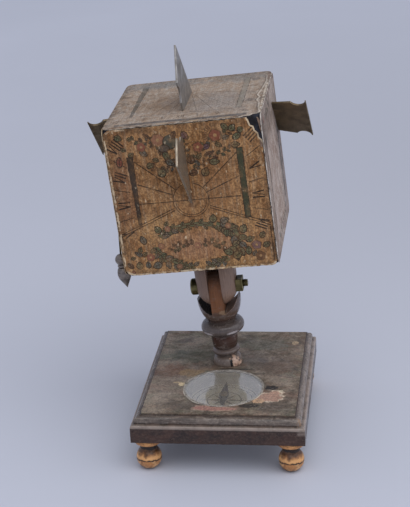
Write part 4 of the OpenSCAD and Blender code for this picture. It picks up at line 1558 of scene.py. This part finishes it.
@dataclass
class DialPrint:
    """The hour lines, numbers and ornaments of one dial."""

    face: DialFace
    seed: int
    bar_at: float = 24.4
    bar_wide: float = 3.1
    bar_top: float = 21.8
    bar_steps: int = 30
    line: float = 0.46
    dark: float = 0.85
    number_at: float = 30.2

    def __post_init__(self) -> None:
        """Starts with an empty print."""
        self.design = Print(self.seed)

    def draw(self) -> Print:
        """Draws the dial.

        Returns:
            Its print.
        """
        {DialFace.NORTH: self.north, DialFace.SOUTH: self.south, DialFace.EAST: self.polar,
         DialFace.WEST: self.polar, DialFace.TOP: self.level}[self.face]()
        return self.design

    def bars(self, top: float, foot: float, washes: tuple[str, str] = ("#332c24", "#313a29"),
             cover: float = 0.95) -> None:
        """Draws the two washed bars that frame the dial, the left one worn narrow.

        Args:
            top: Where they begin.
            foot: Where they end.
            washes: Their colours, left and right.
            cover: How much of the paper they hide.
        """
        half, steps, hand = self.bar_wide / 2, self.bar_steps, self.design.hand
        for side, wash, slim in ((-1, washes[0], 0.5), (1, washes[1], 0.9)):
            for lip, colour in ((0.0, BLACK), (0.35, wash)):
                left, right = [], []
                for i in range(steps + 1):
                    y = top - lip + (foot - top + 2 * lip) * i / steps
                    wide = (half - lip) * (1.0 + (slim - 1.0) * i / steps)
                    left.append((side * self.bar_at - wide - hand.uniform(-0.18, 0.18), y))
                    right.append((side * self.bar_at + wide + hand.uniform(-0.18, 0.18), y))
                self.design.area(left + right[::-1], colour, cover)

    def wreath(self, middle: Point) -> None:
        """Draws an oval leaf wreath round a field with a faint pair of sprigs.

        Args:
            middle: Its middle.
        """
        design = self.design
        g, o, b, p = Ink.GREEN, Ink.OLIVE, Ink.BLUE_GREEN, Ink.PINK
        design.blot(middle, 15.8, 6.8, p.value, 0.16, 40, 0.05)
        for side in (-1, 1):
            sprig = [(middle[0] + side * x, middle[1] + y)
                     for x, y in ((1.6, 0.2), (5.0, 1.5), (8.6, 0.4), (12.0, -1.4))]
            design.spray(sprig, 9, 2.8, (Ink.BROWN, o), 0.85)
        design.flower(middle, 1.9, p, cover=0.65)
        for start, end, size in ((118, 64, 2.9), (150, 122, 3.4), (60, 30, 4.4), (24, -34, 4.6),
                                 (176, 226, 4.0), (230, 262, 3.2), (314, 280, 3.2)):
            design.garland(middle, 18.8, 10.2, start, end, size)
        design.leaves([(-17.0, 9.0, 120, 4.4, 3.2, g), (-12.8, 11.4, 60, 3.2, 2.2, o),
                       (8.6, 12.2, 80, 4.6, 3.4, g), (13.6, 11.0, 20, 4.8, 3.2, b),
                       (21.4, 6.2, 60, 5.0, 3.6, g), (-24.4, 4.6, 110, 5.0, 3.0, b),
                       (17.4, -6.0, 30, 5.4, 3.8, g), (-19.6, -8.2, 200, 5.0, 3.6, b)], middle)
        design.flowers([(-16.6, 1.0, 1.7, p), (-12.6, 9.0, 1.6, p), (14.8, 8.2, 1.5, p),
                        (-9.6, -9.6, 1.5, p)], middle)

    def north(self) -> None:
        """Draws the north dial: morning and evening hours about a ring, sprays and a wreath."""
        design = self.design
        middle = (0.0, -0.6)
        design.ribbon([(-0.2, -4.0), (-0.2, 28.5)], 2.2, Ink.BROWN.value, 0.45)
        self.bars(self.bar_top, -11.2)
        design.ribbon([(-23.4, middle[1]), (22.6, middle[1])], 0.42, BLACK, self.dark)
        for hour in (1, 2):
            a = atan(tan(hour_angle(hour)) / cos(LATITUDE))
            for side in (-1, 1):
                ends = [on_oval(middle, side * r, r, a) for r in (8.4, 22.9 / cos(a))]
                design.ribbon(ends, self.line, BLACK, self.dark)
                for drop in (0.0, 1.1) if hour == 1 else ():
                    low = [(side * r * cos(a), middle[1] - r * sin(a) - drop)
                           for r in (8.6, 16.0, 24.0, 36.6)]
                    design.ribbon(low, 0.4, BLACK, self.dark)
        for radius, start, end in ((8.0, 180, 270), (8.0, 270, 360), (7.0, 185, 270),
                                   (7.0, 270, 355), (8.0, 0, 75), (8.0, 105, 180)):
            design.arc(middle, radius, start, end, 0.36, 0.8)
        for x, top in ((-7.9, 5.6), (7.7, 7.2)):
            design.ribbon([(x, -3.6), (x, top)], 0.36, BLACK, 0.7)
        for side, hours in ((-1, (8, 7, 6, 5)), (1, (4, 5, 6, 7))):
            for hour, y in zip(hours, (27.0, 12.6, middle[1], -14.4)):
                at = (side * self.number_at, y)
                tilt = degrees(atan2(y - middle[1], at[0]))
                design.numeral(hour, at, tilt, 5.4, 1.0)
            for y in (19.4, 6.2, -7.4):
                slope = (y - middle[1]) / 30.0
                half_hour = [(side * x, middle[1] + slope * x) for x in (26.6, 33.4)]
                design.ribbon(half_hour, 0.4, BLACK, 0.75)
        self.top_flowers()
        self.wreath((0.0, -22.4))
        self.foot_flowers()
        design.ribbon([(33.6, -16.0), (33.6, -32.4)], 0.45, BLACK, 0.75)

    def top_flowers(self) -> None:
        """Draws two nodding sprays over the dial, with a few round flowers."""
        design = self.design
        g, o, b, w, p, r = Ink.GREEN, Ink.OLIVE, Ink.BLUE_GREEN, Ink.BROWN, Ink.PURPLE, Ink.RED
        for path in (((-2.5, 14.0), (-6.5, 18.5), (-9.0, 23.5), (-15.0, 27.5), (-22.0, 29.5)),
                     ((-4.0, 15.5), (-8.5, 15.0), (-12.5, 13.6), (-15.5, 16.6)),
                     ((1.6, 13.0), (5.5, 14.6), (10.5, 18.0), (17.0, 20.0), (21.8, 22.4)),
                     ((3.0, 16.0), (6.0, 21.0), (11.0, 26.0), (17.5, 28.5), (25.0, 29.6)),
                     ((1.0, 16.0), (0.6, 22.0), (1.4, 28.0)),
                     ((-16.0, 31.0), (-11.5, 26.0), (-8.0, 21.0))):
            design.spray(path, 3 * len(path), 2.3, (g, o, b, w))
        design.flower((-10.8, 28.4), 3.4, Ink.PINK, 7)
        for x, y, wide, high, wash in ((-5.6, 27.0, 3.3, 3.6, "#41473f"),
                                       (-8.6, 24.4, 2.8, 1.7, "#4f463d")):
            design.blot((x, y), wide, high, BLACK, 0.9, 26, 0.1)
            design.blot((x, y), wide * 0.86, high * 0.86, wash, 0.9, 26, 0.12)
        design.leaves([(-28.2, 30.9, -30, 4.0, 3.0, g), (-23.2, 30.0, 30, 2.8, 2.0, o),
                       (-17.9, 22.9, -40, 4.4, 2.9, b), (-26.6, 25.2, -20, 3.0, 1.9, o),
                       (-23.6, 22.8, 30, 3.4, 2.2, o), (-29.3, 19.8, 85, 5.6, 2.9, r),
                       (-7.9, 20.7, -60, 5.4, 2.9, g), (-6.6, 17.6, -35, 5.2, 3.2, b),
                       (-11.0, 13.2, 40, 4.8, 4.0, g), (-15.7, 17.1, 20, 4.0, 2.8, o),
                       (-12.9, 19.3, -20, 3.4, 2.3, o), (-15.4, 30.6, -35, 4.2, 1.8, w),
                       (-3.6, 30.2, 60, 4.2, 2.4, w), (1.3, 29.4, -65, 4.6, 3.0, p),
                       (10.2, 23.4, 20, 4.0, 2.6, p), (19.3, 31.6, -50, 4.6, 2.7, g),
                       (22.4, 31.0, 45, 4.2, 2.8, g), (26.0, 29.8, 15, 3.3, 2.9, g),
                       (19.2, 26.9, 15, 3.8, 2.5, b), (24.0, 27.0, 30, 5.0, 2.9, g),
                       (23.0, 23.2, 0, 4.6, 2.8, o), (12.8, 16.2, 0, 5.4, 3.1, g),
                       (11.0, 20.2, 22, 5.6, 1.9, w), (2.6, 18.2, 80, 4.6, 3.6, w),
                       (8.2, 11.9, 60, 4.8, 3.8, o), (3.0, 11.9, 10, 4.6, 2.8, w),
                       (6.4, 19.4, 50, 3.8, 2.2, o), (15.6, 23.8, -30, 3.8, 2.2, o)])
        fringed = (14.6, 28.2)
        design.flowers([(-18.6, 25.9, 2.4, r), (6.4, 23.6, 2.7, r), (*fringed, 3.2, r)])
        for i in range(7):
            a = radians(120 + 13 * i)
            design.ribbon([on_oval(fringed, d, d, a) for d in (3.3, 5.6)], 0.42, w.value, 0.85)

    def foot_flowers(self) -> None:
        """Draws a nosegay in each lower corner."""
        g, o, b, w = Ink.GREEN, Ink.OLIVE, Ink.BLUE_GREEN, Ink.BROWN
        self.design.leaves([(-27.4, -24.4, 150, 4.6, 2.4, b), (-26.4, -22.6, 70, 3.4, 2.2, g),
                            (-24.6, -24.6, 30, 3.4, 2.0, o), (-27.8, -30.0, 85, 4.2, 3.2, g),
                            (-23.8, -30.0, 95, 3.8, 2.6, b), (-32.0, -29.8, 130, 3.8, 2.4, w),
                            (-30.4, -26.4, 200, 3.0, 1.8, o), (23.8, -21.4, 20, 4.8, 2.9, g),
                            (29.6, -19.8, 60, 3.8, 2.8, o), (31.0, -24.6, 30, 4.2, 2.8, o),
                            (22.6, -26.8, 85, 4.8, 2.9, g), (25.2, -28.4, 60, 3.4, 2.2, b)])
        self.design.flowers([(-22.2, -26.4, 2.2, Ink.RED), (26.4, -24.4, 2.5, Ink.PURPLE),
                             (27.6, -29.8, 2.5, w), (-31.0, -33.2, 1.0, Ink.RED)])

    def south(self) -> None:
        """Draws the south dial: a fan of hours under its middle."""
        design = self.design
        fan = Fan(middle=(0.0, 24.0), clear=7.0, line_half=22.4, number_half=30.0, line=self.line,
                  height=4.2, line_cover=self.dark, number_cover=0.8)
        self.bars(self.bar_top, -20.0)
        for hour in range(-6, 7):
            a = copysign(pi / 2, hour)
            if abs(hour) < 6:
                a = atan(cos(LATITUDE) * tan(hour_angle(hour)))
            fan.ray(design, hour, a, 46.0, 53.0)
        for radius in (6.8, 7.6):
            design.ring(fan.middle, radius, 0.28, 0.7, 2)
        for side in (-1, 1):
            path = [(side * x, y)
                    for x, y in ((4.0, 30.0), (10.0, 31.2), (18.0, 30.2), (26.0, 27.4))]
            design.spray(path, 9, 4.0)
            design.flower((side * 12.0, 29.4), 2.2, Ink.RED)
            design.flower((side * 29.4, 28.6), 1.8, Ink.PURPLE)
        design.ribbon([(-24.0, -22.6), (24.0, -22.6)], 0.3, BLACK, 0.7)

    def polar(self) -> None:
        """Draws the east or west dial: hour lines side by side along the pole's slope."""
        design, past_end = self.design, 11.0
        side = 1.0 if self.face is DialFace.EAST else -1.0
        root = (-21.0 * side, 17.0)
        along = (cos(LATITUDE) * side, sin(LATITUDE))
        across = (sin(LATITUDE) * side, -cos(LATITUDE))
        slope = degrees(atan2(along[1], along[0]))
        self.bars(self.bar_top, -24.0)
        for hour in range(-2, 5):
            shift = 16.8 * tan(hour_angle(hour))
            base = (root[0] + across[0] * shift, root[1] + across[1] * shift)
            steps = [s for s in range(-60, 61)
                     if abs(base[0] + along[0] * s) < 22.6 and abs(base[1] + along[1] * s) < 25.0]
            if len(steps) < 6:
                continue
            ends = [(base[0] + along[0] * s, base[1] + along[1] * s) for s in (steps[0], steps[-1])]
            design.ribbon(ends, self.line, BLACK, self.dark)
            end, past = (ends[0], -past_end) if abs(ends[0][0]) > 21.0 else (ends[1], past_end)
            at = (end[0] + along[0] * past, end[1] + along[1] * past)
            design.numeral(6 + hour * round(side), at, slope, 4.0)
        path = [(side * x, y) for x, y in ((20.0, 30.6), (12.0, 28.6), (6.0, 30.0), (-4.0, 31.0))]
        design.spray(path, 8, 3.8)
        design.flower((side * 25.0, 30.0), 2.2, Ink.RED)
        low = [(side * x, y)
               for x, y in ((-22.0, -28.0), (-10.0, -29.6), (4.0, -27.6), (20.0, -29.6))]
        design.spray(low, 14, 4.0)
        design.flower((0.0, -30.2), 2.2, Ink.PURPLE)

    def level(self) -> None:
        """Draws the level dial on the top: a fan of hours from the south."""
        design = self.design
        fan = Fan(middle=(-1.0, 12.5), clear=6.4, line_half=22.4, number_half=29.6, line=0.42,
                  height=3.8, line_cover=0.48, number_cover=0.55)
        self.bars(27.0, -20.0, ("#2f312a", "#7d786d"), 0.8)
        for hour in range(-7, 8):
            a = atan2(sin(LATITUDE) * sin(hour_angle(hour)), cos(hour_angle(hour)))
            deep = 32.0 if cos(a) > 0 else 13.0
            fan.ray(design, hour, a, deep, deep + 6.0)
        design.ring(fan.middle, fan.clear, 0.28, 0.45)
        for y, wide, cover in ((-20.6, 0.6, 0.6), (-31.0, 3.0, 0.9)):
            line = [(-30.0, y), (-10.0, y + 0.3), (10.0, y - 0.2), (29.0, y)]
            design.ribbon(line, wide, "#34373c", cover)
        for i in range(9):
            at, wide = (design.hand.uniform(-31.0, 27.0), -34.0), design.hand.uniform(1.0, 4.5)
            design.blot(at, wide, 1.0, ("#84613f", "#33291f", "#b39a7c")[i % 3], 0.9)
        crease = ((33.5, 27.0), (33.9, 19.0), (33.3, 11.0), (32.6, 4.0), (31.5, -3.5), (32.8, -7.0),
                  (31.9, -11.5), (33.3, -16.0), (33.5, -22.0), (34.1, -28.0))
        # Painted shadow: a dark line just inside the pale crease.
        design.ribbon([(x - 0.7, y) for x, y in crease], 0.5, "#4c4038", 0.7)
        design.ribbon(crease, 0.7, "#d9cdbe", 0.95)


@dataclass
class BaseBoard:
    """The moulded board with its feet, its paper panel and the turned pillar."""

    frame: Frame
    paper: float = 0.25
    glass: float = 37.2
    glass_gap: float = 0.65
    pillar_hole: float = 4.2
    worn: float = 0.28
    foot_nodes: tuple[str, ...] = ("foot_front_left", "foot_front_right", "foot_back_left",
                                   "foot_back_right")

    def __post_init__(self) -> None:
        """Finds the panel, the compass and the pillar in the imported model."""
        low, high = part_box("base_board")
        self.middle = Vector(((low.x + high.x) / 2, (low.y + high.y) / 2, high.z))
        self.panel = Place(self.middle, LEVEL)
        needle = Vector(joint(self.frame, "needle_turn")["pos_m"])
        self.well = ((needle.x - self.middle.x) / MM, (needle.y - self.middle.y) / MM)
        tilt = joint(self.frame, "cube_tilt")
        axis = Vector(tilt["axis"]).normalized()
        up = Vector((-axis.z, 0.0, axis.x))
        hinge = Vector(tilt["pos_m"])
        foot = hinge - up * ((hinge.z - high.z) / up.z)
        self.pillar = Place(foot, Matrix((axis, up.cross(axis), up)).transposed())

    def build(self) -> None:
        """Builds and dresses the board, panel, feet, pillar and fork."""
        self.board()
        self.cover()
        self.feet()
        dress(self.frame, "pillar", "pillar_turned", 0.0, "base", "pillar_wood",
              PillarWood().paint(self.pillar))
        fork = StainedWood("turned_fruitwood_rubbed", "#947866", "#735747", "#a8907f", "#8f786d",
                           grain_mm=0.6, stretch=(1.0, 1.0, 20.0), rough=(0.42, 0.62), seed=31.0)
        dress(self.frame, "fork_block", "fork_turned", 0.0, "cube", "fork_wood",
              fork.paint(self.pillar))

    def board(self) -> None:
        """Dresses the moulded board, rubbed along its edges."""
        finish = MouldedBoard("pearwood_ebonised", "#33281f", "#1c1614", "#a3948a", "#503629",
                              grain_mm=0.8, stretch=(26.0, 26.0, 1.0), rough=(0.26, 0.46),
                              seed=11.0, well=self.well)
        dress(self.frame, "base_board", "base_board_worn", self.worn, "base", "base_wood",
              finish.paint(self.panel))

    def cover(self) -> None:
        """Pastes the marbled paper on the panel, torn round the compass."""
        low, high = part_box("base_top_paper")
        wide, deep = (high.x - low.x) / MM / 2, (high.y - low.y) / MM / 2
        unit = ragged_square(1.0, (0.02, 0.02, 0.02, 0.02), 0.0, 5, 0.03)
        outline = []
        for x, y in unit:
            fray = 1.0 - 0.004 * abs(fraying(x * wide * 0.3, y * deep * 0.3, 17.0))
            outline.append((x * wide * fray, y * deep * fray))
        design = Print(17)
        for x, y, w, h, colour, cover in (
                (-17.0, -3.0, 6.0, 4.0, "#9c8160", 0.8), (-8.0, 1.0, 6.0, 1.6, "#8c7660", 0.7),
                (21.8, -27.0, 6.8, 5.0, "#d9c3ac", 0.9), (25.6, -22.4, 3.4, 2.4, "#d9c3ac", 0.9),
                (21.8, -27.2, 6.0, 4.2, "#bb9581", 1.0), (25.2, -22.6, 2.8, 1.8, "#bb9581", 1.0),
                (27.4, -21.4, 1.1, 1.3, "#e0ceb4", 0.9), (17.6, -31.0, 3.2, 2.4, "#cda887", 0.95),
                (-1.6, -39.4, 10.4, 2.5, "#b79a88", 0.8), (-8.0, -38.4, 4.4, 2.5, "#b79a88", 0.8),
                (-1.6, -39.6, 9.4, 1.9, "#ab7f72", 1.0), (-8.0, -38.6, 3.6, 1.9, "#ab7f72", 1.0),
                (-20.4, -15.2, 1.6, 1.9, "#ddc6a0", 0.95),
                (-22.6, -13.6, 2.2, 0.8, "#c2aa88", 0.85),
                (30.6, 31.6, 1.5, 2.2, "#b9a184", 0.85), (28.0, 34.0, 2.4, 1.0, "#8b7864", 0.7),
                (3.0, 1.4, 9.0, 0.9, "#241d1a", 0.8), (22.4, -17.6, 3.2, 2.2, "#1d1816", 0.9),
                (13.6, -36.0, 5.0, 1.6, "#231c19", 0.8)):
            design.blot((x, y), w, h, colour, cover, 46, 0.26)
        for i in range(9):
            start = (14.0 + 1.9 * i, -38.6 + design.hand.uniform(-1.6, 3.0))
            turn, long = design.hand.uniform(-0.6, 2.6), design.hand.uniform(0.8, 3.4)
            design.ribbon([start, on_oval(start, long, long, turn)], 0.3, "#a89a8e", 0.75)
        foot = self.pillar.origin - self.middle
        holes = [[(at[0] + x, at[1] + y) for x, y in cut] for at, cut in (
            (self.well, ragged_circle(self.glass / 2 + self.glass_gap, 0.25, 9)),
            ((foot.x / MM, foot.y / MM), ragged_circle(self.pillar_hole, 0.1, 4, 40)))]
        sheet = Sheet("panel_paper", self.panel, outline, self.paper, design, holes)
        hand_in(sheet.mesh(), "base", "base_paper", MarbledPaper().paint(self.panel),
                "base_top_paper")

    def feet(self) -> None:
        """Dresses the four turned feet, each with its own marks."""
        for name in self.foot_nodes:
            low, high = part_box(name)
            place = Place(Vector(((low.x + high.x) / 2, (low.y + high.y) / 2, low.z)), LEVEL)
            dress(self.frame, name, name + "_turned", 0.0, "base", "foot_wood",
                  TurnedFoot().paint(place))


@dataclass
class Compass:
    """The compass under its glass: card, needle, pivot, glass and the paper strip round it."""

    frame: Frame
    card_thick: float = 0.6
    card_radius: float = 16.7
    card_rings: tuple[float, ...] = (15.6, 13.2, 8.0)
    star_points: int = 8
    star_long: float = 12.6
    star_short: float = 7.6
    star_waist: float = 3.0
    glass_gap: float = 0.15
    ticks: int = 72
    tick_at: float = 14.4
    tick_long: float = 1.3
    tick_wide: float = 0.16
    tick_high: float = 0.03
    strip_edges: Point = (0.35, 1.3)
    strip_stains: float = 18.8

    def __post_init__(self) -> None:
        """Finds the compass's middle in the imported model."""
        self.centre = Vector(joint(self.frame, "needle_turn")["pos_m"])

    def at(self, height: float) -> Place:
        """The compass's middle at a height of the model, in metres."""
        return Place(Vector((self.centre.x, self.centre.y, height)), LEVEL)

    def build(self) -> None:
        """Builds and dresses the card, its degree marks, the needle, the glass and the strip."""
        self.card()
        self.pane()
        self.strip()
        steel = OldSteel("forged_steel_blued", "#08080a", "#16110e", seed=3.0, bright="#4f3c33")
        brass = OldBrass("turned_brass_cap", "#a78d55", "#7b653e", "#d3be84", seed=13.0)
        pin = OldSteel("turned_steel_pin", "#8b8c90", "#6d5a49", seed=5.0)
        for node, name, edge, body, slot, finish in (
                ("compass_needle", "compass_needle_filed", 0.08, "needle", "needle_steel", steel),
                ("needle_cap", "needle_cap_turned", 0.0, "needle", "fitting_brass", brass),
                ("compass_pivot", "compass_pin_turned", 0.0, "base", "pivot_steel", pin)):
            dress(self.frame, node, name, edge, body, slot, finish.paint(self.at(self.centre.z)))

    def pane(self) -> None:
        """Dresses the glass, ground a little thinner from below."""
        low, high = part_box("compass_glass")
        glass = worn_copy(self.frame["nodes"]["compass_glass"], "compass_crown_glass", 0.25)
        for spot in glass.data.vertices:
            if spot.co.z < (low.z + high.z) / 2.0:
                spot.co.z += self.glass_gap * MM
        hand_in(glass, "base", "cover_glass", CoverGlass().paint(self.at(high.z)), "compass_glass")

    def card(self) -> None:
        """Makes the printed card: rings, a star of eight points and degree marks."""
        low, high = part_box("compass_card")
        place = self.at(low.z)
        design = Print(23)
        middle, waist = (0.0, 0.0), self.star_waist
        for radius in self.card_rings:
            design.ring(middle, radius, 0.45, 0.9)
        for i in range(self.star_points):
            a = tau * i / self.star_points
            long = self.star_short if i % 2 else self.star_long
            for turn, ink in ((-0.28, Ink.GREEN), (0.28, Ink.RED)):
                side = on_oval(middle, waist, waist, a + turn)
                design.area([middle, side, on_oval(middle, long, long, a)], ink.value, 0.85)
        paper = PrintedPaper("printed_card_yellowed", "#f4eace", "#e6d9b2", "#f8f1dc", "#f7f2e2",
                             print_left=0.9, seed=100.0, rubbed=0.44, edge=FAR, streaks=0.12,
                             fibre=0.16)
        outline = ragged_circle(self.card_radius, 0.0, 3)
        sheet = Sheet("compass_card_printed", place, outline, self.card_thick, design)
        hand_in(sheet.mesh(), "base", "card_paper", paper.paint(place), "compass_card")
        ink = StainedWood("iron_gall_ink_dried", "#2b211a", "#3a2d22", "#4a3b2d", "#241b15",
                          seed=51.0).paint(place)
        marks = grown("compass_degree_marks", self.tick_tree(), {
            "Count": self.ticks, "Radius": self.tick_at * MM, "Length": self.tick_long * MM,
            "Width": self.tick_wide * MM, "Depth": self.tick_high * MM, "Height": high.z,
            "Material": ink})
        marks.transform(Matrix.Translation((self.centre.x, self.centre.y, 0.0)))
        hand_in(show(marks), "base", "card_paper", ink)

    @staticmethod
    def tick_tree() -> NodeTree:
        """A ring of marks, every ninth one longer.

        Returns:
            The Geometry Nodes tree.
        """
        tree, given = new_tree("degree_ring", {
            "Count": "Int", "Radius": "Float", "Length": "Float", "Width": "Float",
            "Depth": "Float", "Height": "Float", "Material": "Material"})
        sizes = given.outputs
        ring = wire(tree, "GeometryNodeMeshCircle", {
            "Vertices": sizes["Count"], "Radius": sizes["Radius"]})
        bar = wire(tree, "GeometryNodeMeshCube", {"Size": wire(tree, "ShaderNodeCombineXYZ", {
            0: sizes["Length"], 1: sizes["Width"], 2: sizes["Depth"]})})
        ninth = wire(tree, "ShaderNodeMath", {
            0: wire(tree, "GeometryNodeInputIndex"), 1: 9.0}, operation="MODULO")
        long = wire(tree, "ShaderNodeMapRange", {0: ninth, 1: 0.0, 2: 1.0, 3: 1.7, 4: 1.0})
        turn = wire(tree, "FunctionNodeAlignRotationToVector", {
            "Vector": wire(tree, "GeometryNodeInputPosition")}, axis="X")
        spread = wire(tree, "GeometryNodeInstanceOnPoints", {
            "Points": ring, "Instance": bar, "Rotation": turn,
            "Scale": wire(tree, "ShaderNodeCombineXYZ", {0: long, 1: 1.0, 2: 1.0})})
        close_tree(tree, spread, sizes["Height"], sizes["Material"])
        return tree

    def strip(self) -> None:
        """Makes the torn paper strip that holds the glass."""
        low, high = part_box("glazing_strip")
        place = self.at(low.z)
        design = Print(29)
        far, (trim, cut) = self.strip_stains, self.strip_edges
        for i in range(9):
            at = on_oval((0.0, 0.0), far, far, radians(20 + 37 * i))
            design.blot(at, 1.7, 0.8, "#5b524c", 0.7, 14, 0.2)
        paper = PrintedPaper("glazing_paper_rubbed", "#a8a199", "#827970", "#beb8b0", "#d8d3cb",
                             print_left=0.8, seed=120.0, edge=FAR, fibre=0.3)
        outer = (high.x - low.x) / 2 / MM
        sheet = Sheet("glazing_strip_torn", place, ragged_circle(outer - trim, 0.3, 6, 160),
                      (high.z - low.z) / MM, design, [ragged_circle(outer - cut, 0.18, 8, 140)])
        hand_in(sheet.mesh(), "base", "strip_paper", paper.paint(place), "glazing_strip")


@dataclass
class Fittings:
    """The hinge bolt and nut, and the plumb line with its peg, wire and bob."""

    frame: Frame
    bolt_wide: float = 3.2
    turns: float = 3.0
    ridge: float = 0.22
    thread_long: float = 1.8
    thread_back: float = 2.1

    def build(self) -> None:
        """Builds and dresses the brass fittings and the bob."""
        tilt = joint(self.frame, "cube_tilt")
        axis = Vector(tilt["axis"]).normalized()
        side = axis.cross(Vector((0.0, 1.0, 0.0))).normalized()
        place = Place(Vector(tilt["pos_m"]), Matrix((side, axis.cross(side), axis)).transposed())
        brass = OldBrass("turned_brass_fitting", "#6e6340", "#3a3623", "#a3986a", "#434b2a",
                         rough=(0.26, 0.5), seed=17.0)
        for node, name, edge in (("hinge_bolt", "hinge_bolt_turned", 0.2),
                                 ("hinge_nut", "hinge_nut_filed", 0.35)):
            dress(self.frame, node, name, edge, "cube", "fitting_brass", brass.paint(place))
        self.thread(place, brass)
        for node, name, body, slot, finish in (
                ("plumb_peg", "plumb_peg_turned", "cube", "fitting_brass", brass),
                ("plumb_wire", "plumb_wire_drawn", "plumb", "fitting_brass", brass),
                ("plumb_bob", "plumb_bob_turned", "plumb", "bob_metal", CastPewter())):
            dress(self.frame, node, name, 0.0, body, slot, finish.paint(middle_of(node)))

    def thread(self, place: Place, brass: OldBrass) -> None:
        """Winds the screw thread that shows past the nut.

        Args:
            place: The hinge, with its third axis along the bolt.
            brass: The bolt's finish.
        """
        tree, given = new_tree("screw_thread", {
            "Turns": "Float", "Radius": "Float", "Height": "Float", "Ridge": "Float",
            "Start": "Float", "Material": "Material"})
        sizes = given.outputs
        path = wire(tree, "GeometryNodeCurveSpiral", {
            "Resolution": 24, "Rotations": sizes["Turns"], "Start Radius": sizes["Radius"],
            "End Radius": sizes["Radius"], "Height": sizes["Height"]})
        ridge = wire(tree, "GeometryNodeCurvePrimitiveCircle", {
            "Resolution": 4, "Radius": sizes["Ridge"]})
        wound = wire(tree, "GeometryNodeCurveToMesh", {
            "Curve": path, "Profile Curve": ridge, "Fill Caps": True})
        close_tree(tree, wound, sizes["Start"], sizes["Material"])
        finish = brass.paint(place)
        reach = max((Vector(v.co) - place.origin) @ place.axes.col[2]
                    for v in self.frame["nodes"]["hinge_bolt"].data.vertices)
        data = grown("hinge_bolt_thread", tree, {
            "Turns": self.turns, "Radius": (self.bolt_wide / 2) * MM, "Ridge": self.ridge * MM,
            "Height": self.thread_long * MM, "Start": reach - self.thread_back * MM,
            "Material": finish})
        data.transform(place.matrix())
        hand_in(show(data), "cube", "fitting_brass", finish)


@dataclass
class Studio:
    """The photograph's camera, a pale floor and soft light."""

    eye: Triple = (90.828, -628.853, 337.7)
    yaw: float = -8.07
    pitch: float = 21.6
    roll: float = 2.87
    focal_px: float = 1439.0
    frame_px: tuple[int, int] = (410, 507)
    sensor: float = 36.0
    backdrop: str = "#aab0c3"
    sky: str = "#f2f5ff"
    sky_light: float = 0.62
    lamps_m: tuple[tuple[str, Triple, float, float], ...] = (
        ("soft_box_high", (0.3, -0.6, 1.3), 1.3, 9.0),
        ("soft_box_right", (1.35, -0.25, 0.75), 1.2, 3.78))
    aim_m: Triple = (0.0, 0.0, 0.1)
    floor_half_m: float = 6.0

    def build(self) -> None:
        """Sets up the camera, the floor and the lights."""
        self.camera()
        self.floor()
        self.lights()
        bpy.context.scene.view_settings.view_transform = "Standard"

    def camera(self) -> None:
        """Stands the camera where the photograph was taken from."""
        yaw, pitch, roll = (radians(a) for a in (self.yaw, self.pitch, self.roll))
        ahead = Vector((sin(yaw) * cos(pitch), cos(yaw) * cos(pitch), -sin(pitch)))
        right = Vector((cos(yaw), -sin(yaw), 0.0))
        down = ahead.cross(right)
        across = right * cos(roll) + down * sin(roll)
        below = down * cos(roll) - right * sin(roll)
        lens = bpy.data.cameras.new("photo_camera")
        lens.sensor_width = self.sensor
        lens.lens = self.sensor * self.focal_px / max(self.frame_px)
        lens.clip_start = 0.01
        stand = bpy.data.objects.new("photo_camera", lens)
        turn = Matrix((across, -below, -ahead)).transposed().to_4x4()
        stand.matrix_world = Matrix.Translation(Vector(self.eye) * MM) @ turn
        bpy.context.collection.objects.link(stand)
        bpy.context.scene.camera = stand

    def floor(self) -> None:
        """Lays a wide sheet of background card under the object."""
        data = bpy.data.meshes.new("studio_floor")
        half = self.floor_half_m
        corners = [(-half, -half, 0.0), (half, -half, 0.0), (half, half, 0.0), (-half, half, 0.0)]
        data.from_pydata(corners, [], [(0, 1, 2, 3)])
        card = show(data)
        data.materials.append(StudioCard().paint(Place(Vector(), LEVEL)))

    def lights(self) -> None:
        """Lights the object with an even sky and two soft lamps, before the backdrop's tone."""
        world = bpy.data.worlds.new("studio_sky")
        world.use_nodes = True
        bpy.context.scene.world = world
        tree = world.node_tree
        tree.nodes.clear()
        seen = wire(tree, "ShaderNodeLightPath", out="Is Camera Ray")
        rays = seen.node.outputs
        for kind in ("Is Glossy Ray", "Is Transmission Ray"):
            seen = wire(tree, "ShaderNodeMath", {0: seen, 1: rays[kind]}, operation="MAXIMUM")
        light = wire(tree, "ShaderNodeBackground", {0: linear(self.sky), 1: self.sky_light})
        shown = wire(tree, "ShaderNodeBackground", {0: linear(self.backdrop), 1: 1.0})
        both = wire(tree, "ShaderNodeMixShader", {0: seen, 1: light, 2: shown})
        wire(tree, "ShaderNodeOutputWorld", {0: both})
        for name, at, size, power in self.lamps_m:
            lamp = bpy.data.lights.new(name, "AREA")
            lamp.size, lamp.energy = size, power
            stand = bpy.data.objects.new(name, lamp)
            aim = (Vector(self.aim_m) - Vector(at)).to_track_quat("-Z", "Y")
            stand.location, stand.rotation_euler = at, aim.to_euler()
            bpy.context.collection.objects.link(stand)


def plain(box: tuple[Vector, Vector]) -> list[list[float]]:
    """A box's two corners as lists of numbers."""
    return [[float(c) for c in corner] for corner in box]


def main() -> None:
    """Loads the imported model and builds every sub-assembly over it."""
    logging.basicConfig(level=logging.INFO, format="%(name)s: %(message)s")
    for old in list(bpy.data.objects):
        bpy.data.objects.remove(old)
    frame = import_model()
    Studio().build()
    for part in (DialCube(frame), BaseBoard(frame), Compass(frame), Fittings(frame)):
        part.build()


if __name__ == "__main__":
    main()
